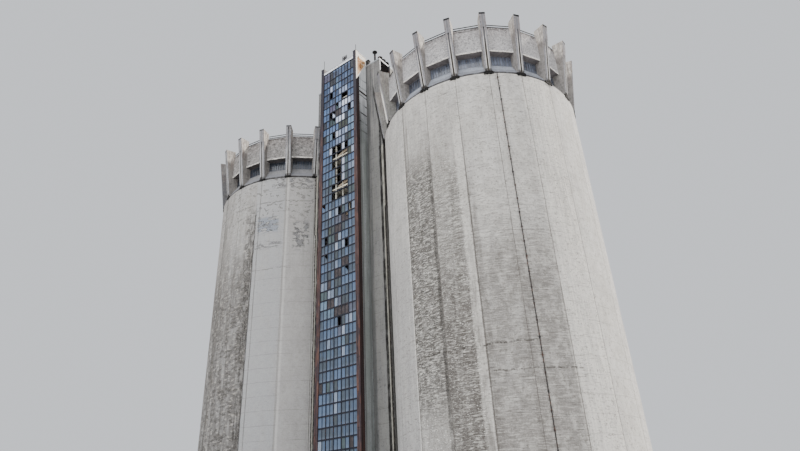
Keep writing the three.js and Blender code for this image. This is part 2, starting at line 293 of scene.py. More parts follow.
    def tint(self, mask: Value, colour: Colour, amount: float = 1.0) -> None:
        """Lays a colour over the surface where the mask is 1.

        Args:
            mask: where the colour lies, from 0 to 1.
            colour: the colour laid on.
            amount: how much of it shows where the mask is 1.
        """
        node = self.tree.nodes.new("ShaderNodeMix")
        node.data_type = "RGBA"
        self.feed(node.inputs[0], self.times(mask, amount))
        self.feed(node.inputs[6], self.base if self.colour is None else self.colour)
        node.inputs[7].default_value = linear(colour)
        self.colour = node.outputs[2]

    def raise_by(self, mask: Socket, height: float) -> None:
        """Adds relief of that height in metres, or a hollow below 0, where the mask is 1."""
        step = self.times(mask, height * MODEL)
        self.relief = step if self.relief is None else self.math("ADD", self.relief, step)

    def lay(self, *marks: "Mark") -> None:
        """Lays marks on the surface, in order."""
        for mark in marks:
            mark.apply(self)

    def finish(self, roughness: Value, **settings: float) -> bpy.types.Material:
        """Wires the colour and the relief to the shader.

        Args:
            roughness: the shader's roughness.
            settings: other inputs of the shader by name, with _ for a space.

        Returns:
            The finished material.
        """
        if self.colour is None:
            self.shader.inputs["Base Color"].default_value = self.base
        else:
            self.feed(self.shader.inputs["Base Color"], self.colour)
        self.feed(self.shader.inputs["Roughness"], roughness)
        for name, value in settings.items():
            self.shader.inputs[name.replace("_", " ")].default_value = value
        if self.relief is not None:
            bump = self.tree.nodes.new("ShaderNodeBump")
            bump.inputs["Distance"].default_value = 1.0
            self.feed(bump.inputs["Height"], self.relief)
            self.feed(self.shader.inputs["Normal"], bump.outputs[0])
        return self.material


@dataclass(frozen=True)
class Zone:
    """A part of a wall.

    Attributes:
        along: from where to where along the wall, or None for all of it.
        up: from what height to what height, or None for all of it.
        blur_along: how wide the upright edges fade.
        blur_up: how tall the level edges fade.
        lean: how much the level edges rise for each step along the wall.
    """

    along: tuple[float, float] | None = None
    up: tuple[float, float] | None = None
    blur_along: float = 1.0
    blur_up: float = 1.0
    lean: float = 0.0

    def mask(self, board: Board) -> Value:
        """Masks the zone.

        Args:
            board: the material under construction.

        Returns:
            1 inside the zone and 0 outside.
        """
        result: Value = 1.0
        if self.along:
            result = board.window(board.along, *self.along, self.blur_along)
        if self.up:
            level = board.up
            if self.lean:
                level = board.math("MULTIPLY_ADD", board.along, -self.lean, board.up)
            height = board.window(level, *self.up, self.blur_up)
            result = height if result == 1.0 else board.times(result, height)
        return result

    def limit(self, board: Board, mask: Socket) -> Socket:
        """Returns a mask cut down to the zone."""
        return mask if self is EVERYWHERE else board.times(mask, self.mask(board))


EVERYWHERE = Zone()


@dataclass(frozen=True)
class Mottle:
    """Blotches of a colour.

    Attributes:
        colour: the blotches' colour.
        across: their size across, in metres.
        upward: their size upward.
        amount: how much of the colour shows.
        share: about how much of the surface they take.
        edge: how softly they end.
        relief: how far they stand out, or how deep they lie if below 0.
        zone: where they are.
        shift: moves them, so that two marks of one size differ.
    """

    colour: Colour
    across: float
    upward: float
    amount: float
    share: float = 0.5
    edge: float = 0.12
    relief: float = 0.0
    zone: Zone = EVERYWHERE
    shift: float = 0.0

    def apply(self, board: Board) -> None:
        """Lays the blotches on the board.

        Args:
            board: the material under construction.
        """
        scale = (1 / self.across, 1 / self.across, 1 / self.upward)
        spots = board.noise(scale, detail=5.0, rough=0.62, shift=self.shift)
        middle = level_for(self.share)
        mask = board.fade(spots, middle - self.edge, middle + self.edge)
        mask = self.zone.limit(board, mask)
        board.tint(mask, self.colour, self.amount)
        if self.relief:
            board.raise_by(mask, self.relief)


@dataclass(frozen=True)
class Flakes:
    """Places where the wall's skin has come off: a cool smooth patch inside a dark ragged rim.

    Attributes:
        inside: the patch's colour.
        rim: the rim's colour.
        across: the patches' size across, in metres.
        upward: their size upward.
        share: about how much of the zone they take.
        zone: where they are.
        amount: how much of both colours shows.
        depth: the patches' relief, below 0.
        shift: moves them, so that two marks of one size differ.
        blur: how softly a patch ends.
        rim_in: how far the rim reaches in.
        rim_out: how far it reaches out.
    """

    inside: Colour
    rim: Colour
    across: float
    upward: float
    share: float
    zone: Zone
    amount: float = 0.8
    depth: float = -0.012
    shift: float = 0.0
    blur: float = 0.012
    rim_in: float = 0.022
    rim_out: float = 0.014

    def apply(self, board: Board) -> None:
        """Lays the patches on the board.

        Args:
            board: the material under construction.
        """
        scale = (1 / self.across, 1 / self.across, 1 / self.upward)
        spots = board.noise(scale, detail=5.0, shift=self.shift)
        middle = level_for(self.share)
        zone = self.zone.mask(board)
        off = board.times(board.fade(spots, middle - self.blur, middle + self.blur), zone)
        rim = board.window(spots, middle - self.rim_in, middle + self.rim_out, self.rim_out)
        rim = board.times(rim, zone)
        board.tint(off, self.inside, self.amount)
        board.tint(rim, self.rim, self.amount)
        board.raise_by(off, self.depth)


@dataclass(frozen=True)
class Grain:
    """The fine roughness of a surface: the grains' size, both tones, their amount, and the relief."""

    size: float
    light: Colour
    dark: Colour
    amount: float
    relief: float

    def apply(self, board: Board) -> None:
        """Lays the grain on the board.

        Args:
            board: the material under construction.
        """
        grain = board.noise((1 / self.size,) * 3, detail=3.0, rough=0.7, shift=3.1)
        board.tint(board.fade(grain, 0.5, 0.75), self.light, self.amount)
        board.tint(board.fade(grain, 0.5, 0.25), self.dark, self.amount)
        board.raise_by(grain, self.relief)


@dataclass(frozen=True)
class Joints:
    """Upright lines along a wall, with a wandering edge.

    Attributes:
        places: where they are along the wall.
        width: their half width.
        colour: their colour.
        amount: how much of it shows.
        up: from what height to what height they run.
        blur_up: how tall their ends fade.
        wander: how far they wander, as a share of their width.
        relief: how far they stand out, or how deep they lie if below 0.
    """

    places: tuple[float, ...]
    width: float
    colour: Colour
    amount: float
    up: tuple[float, float] = (-1.0, 60.0)
    blur_up: float = 2.0
    wander: float = 0.5
    relief: float = 0.0

    def apply(self, board: Board) -> None:
        """Lays the lines on the board.

        Args:
            board: the material under construction.
        """
        worn = board.noise((0.9, 0.9, 0.7), rough=0.7, shift=7.7)
        shift = board.times(board.math("SUBTRACT", worn, 0.5), self.wander * self.width * 4)
        place = board.math("ADD", board.along, shift)
        near: Socket | None = None
        for joint in self.places:
            away = board.math("ABSOLUTE", board.math("SUBTRACT", place, joint))
            near = away if near is None else board.math("MINIMUM", near, away)
        line = board.fade(near, self.width, self.width * 0.3)
        line = board.times(line, board.window(board.up, *self.up, self.blur_up))
        uneven = board.times(line, board.fade(worn, 0.15, 0.6))
        board.tint(uneven, self.colour, self.amount)
        if self.relief:
            board.raise_by(line, self.relief)


@dataclass(frozen=True)
class Lifts:
    """Level lines where one pour of concrete meets the next.

    Attributes:
        pitch: the height from one to the next.
        width: their half width.
        colour: their colour.
        amount: how much of it shows.
        start: the height of the first.
        zone: where they are.
        relief: how far they stand out, or how deep they lie if below 0.
    """

    pitch: float
    width: float
    colour: Colour
    amount: float
    start: float = 0.0
    zone: Zone = EVERYWHERE
    relief: float = 0.0

    def apply(self, board: Board) -> None:
        """Lays the lines on the board.

        Args:
            board: the material under construction.
        """
        wave = board.noise((0.35, 0.35, 0.35), detail=2.0, rough=0.5, shift=11.0)
        height = board.math("ADD", board.up, board.times(wave, self.width * 2))
        turns = board.math("DIVIDE", board.math("SUBTRACT", height, self.start), self.pitch)
        away = board.math("PINGPONG", turns, 0.5)
        share = self.width / self.pitch
        line = board.fade(away, share, share * 0.3)
        worn = board.fade(board.noise((0.8, 0.8, 3.0), rough=0.7, shift=5.0), 0.35, 0.6)
        mask = self.zone.limit(board, board.times(line, worn))
        board.tint(mask, self.colour, self.amount)
        if self.relief:
            board.raise_by(mask, self.relief)


@dataclass(frozen=True)
class Stain:
    """A tint over a zone, broken up by streaks that run down the wall.

    Attributes:
        zone: where it is.
        colour: its colour.
        amount: how much of it shows.
        across: the streaks' width, in metres.
        length: their length.
        solid: how much of the tint lies between the streaks, or how few streaks there are if below 0.
        shift: moves the streaks, so that two stains of one size differ.
    """

    zone: Zone
    colour: Colour
    amount: float
    across: float = 0.3
    length: float = 4.0
    solid: float = 0.4
    shift: float = 0.0

    def apply(self, board: Board) -> None:
        """Lays the stain on the board.

        Args:
            board: the material under construction.
        """
        scale = (1 / self.across, 1 / self.across, 1 / self.length)
        streaks = board.noise(scale, rough=0.65, shift=self.shift)
        broken = board.math("ADD", board.fade(streaks, 0.35, 0.68), self.solid)
        mask = board.math("MINIMUM", board.times(broken, self.zone.mask(board)), 1.0)
        board.tint(mask, self.colour, self.amount)


@dataclass(frozen=True)
class Crack:
    """One level crack that wanders and comes and goes.

    Attributes:
        height: how high it lies.
        width: its width, in metres.
        colour: its colour.
        amount: how much of it shows.
        along: from where to where it runs.
        blur: how softly its ends fade.
    """

    height: float
    width: float
    colour: Colour
    amount: float
    along: tuple[float, float]
    blur: float = 3.0

    def apply(self, board: Board) -> None:
        """Lays the crack on the board.

        Args:
            board: the material under construction.
        """
        wave = board.math("SUBTRACT", board.noise((0.8, 0.8, 0.1), shift=2.0), 0.5)
        height = board.math("ADD", board.up, board.times(wave, self.width * 5))
        half = self.width / 2
        line = board.window(height, self.height - half, self.height + half, half)
        dots = board.fade(board.noise((4.0, 4.0, 1.0), detail=2.0, shift=9.0), 0.38, 0.55)
        stretch = board.window(board.along, *self.along, self.blur)
        board.tint(board.times(board.times(line, dots), stretch), self.colour, self.amount)


Mark = Mottle | Flakes | Grain | Joints | Lifts | Stain | Crack


@dataclass(frozen=True)
class Concrete:
    """A concrete finish: a colour, and the marks that years have left on it, laid on in order."""

    name: str
    surface: Surface
    colour: Colour
    marks: tuple[Mark, ...]
    roughness: tuple[float, float] = (0.78, 0.95)

    def material(self) -> bpy.types.Material:
        """Makes the node material.

        Returns:
            The finished material.
        """
        board = Board(self.name, self.surface, self.colour)
        board.lay(*self.marks)
        low, high = self.roughness
        polish = board.math("MULTIPLY_ADD", board.noise((2.0, 2.0, 1.0)), high - low, low)
        return board.finish(polish, Specular_IOR_Level=0.3)


@dataclass(frozen=True)
class RustySteel:
    """Dark red-brown paint with rust coming through and dull streaks under each seam."""

    name: str
    paint: Colour
    faded: Colour
    rust: Colour
    seam: float

    def material(self) -> bpy.types.Material:
        """Makes the node material.

        Returns:
            The finished material.
        """
        board = Board(self.name, Surface.ALONG_X, self.paint)
        lower, upper = Zone(up=(-2.0, 38.0), blur_up=6.0), Zone(up=(38.0, 48.0), blur_up=6.0)
        worn = Zone(up=(-2.0, 40.0), blur_up=6.0)
        board.lay(
            Stain(upper, self.faded, 0.85, 0.12, 3.0, 0.6),
            Stain(Zone(up=(20.0, 33.0), blur_up=4.0), self.rust, 0.8, 0.07, 6.0, -0.15, 4.0),
            Mottle(self.rust, 0.25, 1.2, 0.55, 0.28, 0.06, 0.0015, lower),
            Mottle((34, 28, 34), 0.18, 2.5, 0.6, 0.5, 0.1, shift=8.0),
            Mottle((112, 88, 82), 0.1, 1.6, 0.4, 0.22, 0.05, 0.0, worn, 21.0),
            Lifts(self.seam, 0.035, (20, 15, 17), 0.8, 0.4, relief=-0.006),
            Grain(0.03, (112, 88, 84), (28, 22, 24), 0.25, 0.002),
        )
        polish = board.math("MULTIPLY_ADD", board.noise((6.0, 6.0, 2.0)), 0.4, 0.38)
        return board.finish(polish, Specular_IOR_Level=0.25)


@dataclass(frozen=True)
class PaintedSteel:
    """Old paint on steel, with chips down to rust and a dull film of dirt."""

    name: str
    paint: Colour
    dirt: Colour
    chips: float = 0.3
    roughness: float = 0.5
    metallic: float = 0.2

    def material(self) -> bpy.types.Material:
        """Makes the node material.

        Returns:
            The finished material.
        """
        board = Board(self.name, Surface.ALONG_X, self.paint)
        board.lay(
            Mottle(self.dirt, 0.5, 0.5, 0.5, 0.5, 0.15),
            Mottle((92, 62, 48), 0.12, 0.2, 0.8, self.chips, 0.03, -0.001, shift=3.0),
            Grain(0.03, self.paint, self.dirt, 0.25, 0.001),
        )
        worn = board.math("MULTIPLY_ADD", board.noise((5.0, 5.0, 5.0)), 0.35, self.roughness - 0.15)
        return board.finish(worn, Metallic=self.metallic)


@dataclass(frozen=True)
class PaneGlass:
    """Old glass: its own tone for each pane, dust along the pane's foot and a painted sheen in streaks."""

    name: str
    colour: Colour
    light: Colour
    dark: Colour
    spread: float
    roughness: float
    dust: Colour = (136, 148, 170)
    film: Colour = (88, 98, 102)
    film_up: tuple[float, float] = (41.0, 29.0)

    def material(self) -> bpy.types.Material:
        """Makes the node material.

        Returns:
            The finished material.
        """
        board = Board(self.name, Surface.ALONG_X, self.colour)
        column = board.math("DIVIDE", board.math("ADD", board.x, Glazing.half), Glazing.pane)
        drop = board.math("SUBTRACT", Glazing.top - Glazing.top_row, board.z)
        row = board.math("DIVIDE", drop, Glazing.row)
        one = board.chance(column, row)
        pair = board.chance(board.math("DIVIDE", column, 2.0), row)
        board.tint(board.fade(one, 0.45, 1.0), self.light, self.spread)
        board.tint(board.fade(one, 0.5, 0.0), self.dark, self.spread)
        board.tint(board.fade(pair, 0.55, 1.0), self.light, self.spread * 0.8)
        board.tint(board.fade(pair, 0.4, 0.0), self.dark, self.spread * 0.6)
        board.tint(board.fade(board.z, *self.film_up), self.film, 0.5)
        foot = board.fade(board.math("FRACT", row), 0.6, 1.0)
        board.tint(board.times(foot, board.noise((9.0, 9.0, 2.0))), self.dust, 0.45)
        # painted reflection: upright streaks of sheen, lighter and darker
        sheen = board.noise((7.0, 7.0, 0.8), detail=3.0, rough=0.5, shift=4.0)
        board.tint(board.fade(sheen, 0.52, 0.7), self.light, 0.35)
        board.tint(board.fade(sheen, 0.45, 0.3), self.dark, 0.3)
        board.raise_by(board.noise((3.0, 3.0, 1.5), detail=1.0, rough=0.4, shift=6.0), 0.004)
        film = board.math("MULTIPLY_ADD", sheen, 0.25, self.roughness)
        return board.finish(film, Specular_IOR_Level=0.5)


@dataclass(frozen=True)
class PaneBoard:
    """A weathered board or sheet that closes a pane's opening, with its grain upright."""

    name: str
    colour: Colour
    dark: Colour
    light: Colour

    def material(self) -> bpy.types.Material:
        """Makes the node material.

        Returns:
            The finished material.
        """
        board = Board(self.name, Surface.ALONG_X, self.colour)
        board.lay(
            Mottle(self.dark, 0.05, 1.2, 0.6, 0.5, 0.1, -0.001),
            Mottle(self.light, 0.4, 0.5, 0.45, 0.4, 0.08, shift=5.0),
            Grain(0.015, self.light, self.dark, 0.3, 0.001),
        )
        return board.finish(0.8)


@dataclass(frozen=True)
class StripGlass:
    """The gallery's dark strip windows, with a film of dust and pale upright streaks."""

    name: str
    colour: Colour

    def material(self) -> bpy.types.Material:
        """Makes the node material.

        Returns:
            The finished material.
        """
        board = Board(self.name, Surface.ALONG_X, self.colour)
        board.lay(
            Mottle(shade(self.colour, 1.4), 0.35, 1.5, 0.6, 0.4, 0.1),
            Mottle(shade(self.colour, 0.62), 0.6, 2.0, 0.6, 0.4, 0.08, shift=12.0),
        )
        board.raise_by(board.noise((2.0, 2.0, 1.0), detail=1.0, rough=0.4), 0.003)
        film = board.math("MULTIPLY_ADD", board.noise((3.0, 3.0, 1.0)), 0.3, 0.1)
        return board.finish(film, Specular_IOR_Level=0.5)


@dataclass(frozen=True)
class RoofFelt:
    """Grey roofing felt in strips, patched and dusty."""

    name: str = "roof_felt"
    colour: Colour = (92, 92, 90)
    strip: float = 1.0

    def material(self) -> bpy.types.Material:
        """Makes the node material.

        Returns:
            The finished material.
        """
        board = Board(self.name, Surface.ALONG_X, self.colour)
        board.up = board.x
        board.lay(
            Mottle((122, 120, 114), 1.6, 1.6, 0.7, 0.5),
            Mottle((62, 62, 62), 0.7, 0.7, 0.6, 0.4, 0.08, shift=9.0),
            Lifts(self.strip, 0.03, (48, 48, 48), 0.9, relief=0.012),
            Grain(0.02, (130, 128, 124), (64, 64, 62), 0.4, 0.002),
        )
        return board.finish(0.9)


@dataclass(frozen=True)
class StudioFloor:
    """A plain pale floor with the faintest unevenness."""

    name: str = "studio_floor"
    colour: Colour = (190, 190, 188)

    def material(self) -> bpy.types.Material:
        """Makes the node material.

        Returns:
            The finished material.
        """
        board = Board(self.name, Surface.ALONG_X, self.colour)
        board.lay(Mottle((182, 182, 181), 9.0, 9.0, 0.6))
        return board.finish(0.8)


Finish = (
    Concrete | RustySteel | PaintedSteel | PaneGlass | PaneBoard | StripGlass | RoofFelt | StudioFloor
)


class Sketch:
    """A mesh under construction, in metres of the real building."""

    def __init__(self, name: str) -> None:
        """Starts an empty mesh.

        Args:
            name: the name of the piece that it becomes.
        """
        self.name = name
        self.points: list[Point] = []
        self.faces: list[tuple[int, ...]] = []
        self.looks: list[int] = []

    def face(self, corners: tuple[int, ...], look: int) -> None:
        """Adds a face between points by number, in a finish by number."""
        self.faces.append(corners)
        self.looks.append(look)

    def loft(
        self,
        rings: Sequence[Sequence[Point]],
        look: int | Sequence[int] = 0,
        closed: bool = False,
    ) -> None:
        """Joins rings of equally many points with quads, and fills the first and the last ring.

        Args:
            rings: rings of points, one after the other.
            look: the number of the finish, or one for each side of a ring and one for the fillings.
            closed: whether the last ring joins the first instead, and neither is filled.
        """
        start, size, count = len(self.points), len(rings[0]), len(rings)
        looks = [look] * (size + 1) if isinstance(look, int) else look
        for ring in rings:
            self.points.extend(ring)
        for i in range(count if closed else count - 1):
            for j in range(size):
                low, high = start + i * size, start + (i + 1) % count * size
                after = (j + 1) % size
                self.face((low + j, low + after, high + after, high + j), looks[j])
        if not closed:
            last = start + (count - 1) * size
            self.face(tuple(reversed(range(start, start + size))), looks[-1])
            self.face(tuple(range(last, last + size)), looks[-1])

    def box(self, low: Point, high: Point, look: int = 0) -> None:
        """Adds an upright box.

        Args:
            low: its corner at the least x, y and z.
            high: its corner at the greatest x, y and z.
            look: the number of the finish.
        """
        (x0, y0, z0), (x1, y1, z1) = low, high
        ring = ((x0, y0), (x1, y0), (x1, y1), (x0, y1))
        self.loft([[(x, y, z) for x, y in ring] for z in (z0, z1)], look)

    def tube(
        self,
        path: Sequence[Point],
        radius: float,
        sides: int = 10,
        look: int = 0,
        closed: bool = False,
    ) -> None:
        """Adds a round tube along a path.

        Args:
            path: the points it runs through.
            radius: its outer radius.
            sides: the number of its sides.
            look: the number of the finish.
            closed: whether the last point joins the first.
        """
        rings = []
        for i, point in enumerate(path):
            before = path[i - 1] if i or closed else point
            after = path[(i + 1) % len(path)] if i + 1 < len(path) or closed else point
            way = (Vector(after) - Vector(before)).normalized()
            level = way.cross((0, 0, 1)) if abs(way.z) < 0.9 else way.cross((0, 1, 0))
            level.normalize()
            upright = level.cross(way)
            turns = [2 * math.pi * k / sides for k in range(sides)]
            rings.append([
                tuple(Vector(point) + radius * (math.cos(turn) * level + math.sin(turn) * upright))
                for turn in turns
            ])
        self.loft(rings, look, closed)

    def lathe(
        self, outline: Sequence[Flat], x: float, y: float, steps: int, look: int = 0
    ) -> None:
        """Turns a closed outline about an upright axis.

        Args:
            outline: (radius, height) pairs, in order.
            x: the axis's place along X.
            y: the axis's place along Y.
            steps: how many sides the round has.
            look: the number of the finish.
        """
        turns = [2 * math.pi * k / steps for k in range(steps)]
        rings = [[(x + r * math.sin(a), y - r * math.cos(a), z) for r, z in outline] for a in turns]
        self.loft(rings, look, closed=True)

    def piece(
        self,
        finishes: Sequence[bpy.types.Material],
        replaces: Sequence[str] = (),
        smooth: float = 0.0,
        bevel: float = 0.0,
        beside_head_house: bool = False,
    ) -> None:
        """Turns the sketch into a piece that rides on the building.

        Args:
            finishes: the materials, in the order of the faces' numbers.
            replaces: the CAD nodes that the piece stands for.
            smooth: faces that meet at less than this angle in degrees are shaded as one.
            bevel: the width of the rounding along sharp edges, in metres.
            beside_head_house: whether what lies in the head house is cut away.
        """
        mesh = bpy.data.meshes.new(self.name)
        mesh.from_pydata([tuple(MODEL * v for v in point) for point in self.points], [], self.faces)
        mesh.polygons.foreach_set("material_index", self.looks)
        shape = bmesh.new()
        shape.from_mesh(mesh)
        bmesh.ops.remove_doubles(shape, verts=shape.verts, dist=WELD)
        bmesh.ops.recalc_face_normals(shape, faces=shape.faces)
        if beside_head_house:
            HeadHouse.cut_out(shape)
        if smooth:
            for face in shape.faces:
                face.smooth = True
            for edge in shape.edges:
                edge.smooth = edge.calc_face_angle(math.pi) < math.radians(smooth)
        shape.to_mesh(mesh)
        shape.free()
        for material in finishes:
            mesh.materials.append(material)
        thing = bpy.data.objects.new(self.name, mesh)
        bpy.context.scene.collection.objects.link(thing)
        if bevel:
            rounding = thing.modifiers.new("rounding", "BEVEL")
            rounding.width = bevel * MODEL
            rounding.segments = 2
            rounding.limit_method = "ANGLE"
        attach(thing, "root")
        if replaces:
            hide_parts(*replaces)
        log.info("%s: %d faces", self.name, len(mesh.polygons))


def wobble(*place: float) -> float:
    """Returns smooth noise.

    Args:
        place: where it is read. The numbers in a call only set the place and how finely it varies.

    Returns:
        The noise, from about -1 to 1.
    """
    return noise.noise(Vector((*place, 0.37, 0.71)[:3]))


def worn_off(limits: tuple[float, float], chance: float) -> float:
    """Returns the first limit, and as much of the second as chance says where it is above 0."""
    return limits[0] + limits[1] * max(0.0, chance)


FIN_LINES = tuple(float(angle) for angle in range(-162, 181, 18))  # where the fins stand
RIGHT_SHAFT_MARKS: tuple[Mark, ...] = (
    # blotches over the whole shaft, and what has run down from its top
    Mottle((172, 168, 162), 2.6, 4.0, 0.5),
    Mottle((216, 213, 208), 1.1, 2.4, 0.4, shift=5.0),
    Mottle((148, 145, 141), 0.4, 0.5, 0.3, 0.42, shift=15.0),
    Stain(Zone(up=(22.0, 36.0), blur_up=10.0), (128, 123, 117), 0.3, 0.22, 9.0, -0.3, 13.0),
    # stains, bay by bay, with the pale stretches last; the last stretch is painted sunlight
    Mottle(
        (160, 158, 155), 0.22, 6.0, 0.45, 0.42, 0.08, zone=Zone((-90.0, -19.0), blur_along=0.5), shift=3.0,
    ),
    Stain(Zone((-90.0, -18.6), (-2.0, 22.0), 0.6, 12.0), (150, 149, 149), 0.55, 0.4, 5.0, 0.5, 1.0),
    Stain(Zone((-18.3, 17.0), (-2.0, 30.0), 0.8, 11.0), (110, 106, 101), 0.5, 0.5, 3.0, 0.45),
    Stain(Zone((0.0, 17.0), (-2.0, 17.0), 0.8, 8.0), (70, 64, 60), 0.82, 0.4, 1.5, 0.5, 6.0),
    Stain(Zone((17.2, 21.0), (-2.0, 25.0), 1.6, 7.0), (100, 95, 91), 0.6, 0.3, 2.0, 0.3, 16.0),
    Stain(Zone((34.4, 38.6), (-2.0, 18.0), 1.8, 6.0), (106, 101, 97), 0.5, 0.3, 2.0, 0.3, 18.0),
    Stain(Zone((-18.3, -0.3), (9.0, 27.0), 0.6, 5.0), (76, 71, 65), 0.75, 0.35, 1.2, 0.4, 2.0),
    Stain(Zone((-18.2, -14.8), (17.0, 32.5), 1.0, 4.0), (92, 86, 80), 0.7, 0.14, 5.0, 0.05, 8.0),
    Stain(Zone((8.5, 13.0), (15.0, 24.5), 1.5, 2.0), (96, 92, 87), 0.6, 0.14, 3.0, 0.1, 5.0),
    Stain(Zone((18.0, 54.0), (-2.0, 19.0), 0.6, 8.0), (96, 92, 89), 0.66, 0.6, 1.2, 0.45, 4.0),
    Stain(Zone((13.6, 17.6), (6.0, 30.0), 0.8, 4.0), (206, 203, 197), 0.6, 0.3, 2.0, 0.4, 2.0),
    # painted sunlight: pale streaks where the key light grazes the shaft, 53 to 72 degrees round
    Stain(Zone((53.0, 72.0), (-2.0, 34.4), 1.0, 1.0), (222, 218, 211), 0.6, 0.12, 3.0, 0.0, 6.0),
    # level ripples, dark and pale in turn, strongest beside the front fin line
    Mottle((40, 37, 34), 0.5, 0.1, 0.62, 0.44, 0.07, -0.03, Zone((-18.3, -0.3), (8.0, 27.5), 0.6, 4.0)),
    Mottle(
        (240, 237, 230), 0.4, 0.08, 0.62, 0.3, 0.05, 0.02, Zone((-18.3, -0.3), (8.0, 27.0), 0.6, 4.0), 4.0,
    ),
    Mottle((84, 79, 74), 0.7, 0.09, 0.6, 0.4, 0.07, -0.025, Zone((0.0, 14.0), (2.0, 26.0), 1.2, 6.0), 8.0),
    Mottle(
        (226, 223, 216), 0.5, 0.08, 0.5, 0.3, 0.05, 0.015, Zone((0.0, 15.0), (2.0, 25.5), 1.2, 5.0), 9.0,
    ),
    Mottle(
        (252, 250, 244), 0.16, 0.07, 0.8, 0.1, 0.02, 0.01, Zone((-18.0, 15.0), (4.0, 27.0), 1.0, 4.0), 27.0,
    ),
    Mottle(
        (96, 92, 88), 0.8, 0.1, 0.36, 0.34, 0.06, -0.013, Zone((17.5, 54.0), (-2.0, 24.0), 1.0, 7.0), 6.0,
    ),
    Mottle(
        (214, 211, 206), 0.9, 0.08, 0.3, 0.3, 0.05, 0.008, Zone((17.5, 54.0), (-2.0, 24.0), 1.0, 7.0), 7.0,
    ),
    # upright joints
    Joints((-18.6,), 0.4, (222, 220, 215), 0.65, (-1.0, 29.0)),
    Joints((-0.8,), 1.4, (50, 46, 43), 0.82, (-1.0, 28.5), 8.0, 0.35),
    Joints((-17.4,), 0.5, (84, 79, 74), 0.7, (21.0, 34.0), 4.0, 0.5),
    Joints((18.1,), 0.5, (76, 71, 66), 0.75, (-1.0, 27.5), 8.0, 0.5, -0.02),
    Joints(FIN_LINES, 0.28, (84, 79, 74), 0.8, relief=-0.01),
    # level lines, cracks, pits and grain
    Mottle((96, 91, 86), 0.55, 0.045, 0.65, 0.1, 0.03, -0.008, Zone((-60.0, 72.0), (2.0, 34.2)), 23.0),
    Lifts(1.22, 0.035, (118, 114, 110), 0.45),
    Crack(11.9, 0.12, (60, 56, 52), 0.9, (-18.0, 39.0)),
    Crack(10.1, 0.1, (70, 66, 61), 0.85, (20.0, 58.0)),
    Crack(33.2, 0.14, (72, 66, 60), 0.75, (7.0, 13.0)),
    Crack(19.9, 0.06, (96, 92, 87), 0.6, (-18.0, 60.0)),
    Crack(24.6, 0.06, (96, 92, 87), 0.5, (-18.0, 20.0)),
    Mottle((104, 99, 93), 0.16, 0.16, 0.55, 0.14, 0.03, -0.006, shift=30.0),
    Grain(0.08, (216, 214, 209), (138, 134, 129), 0.4, 0.008),
)
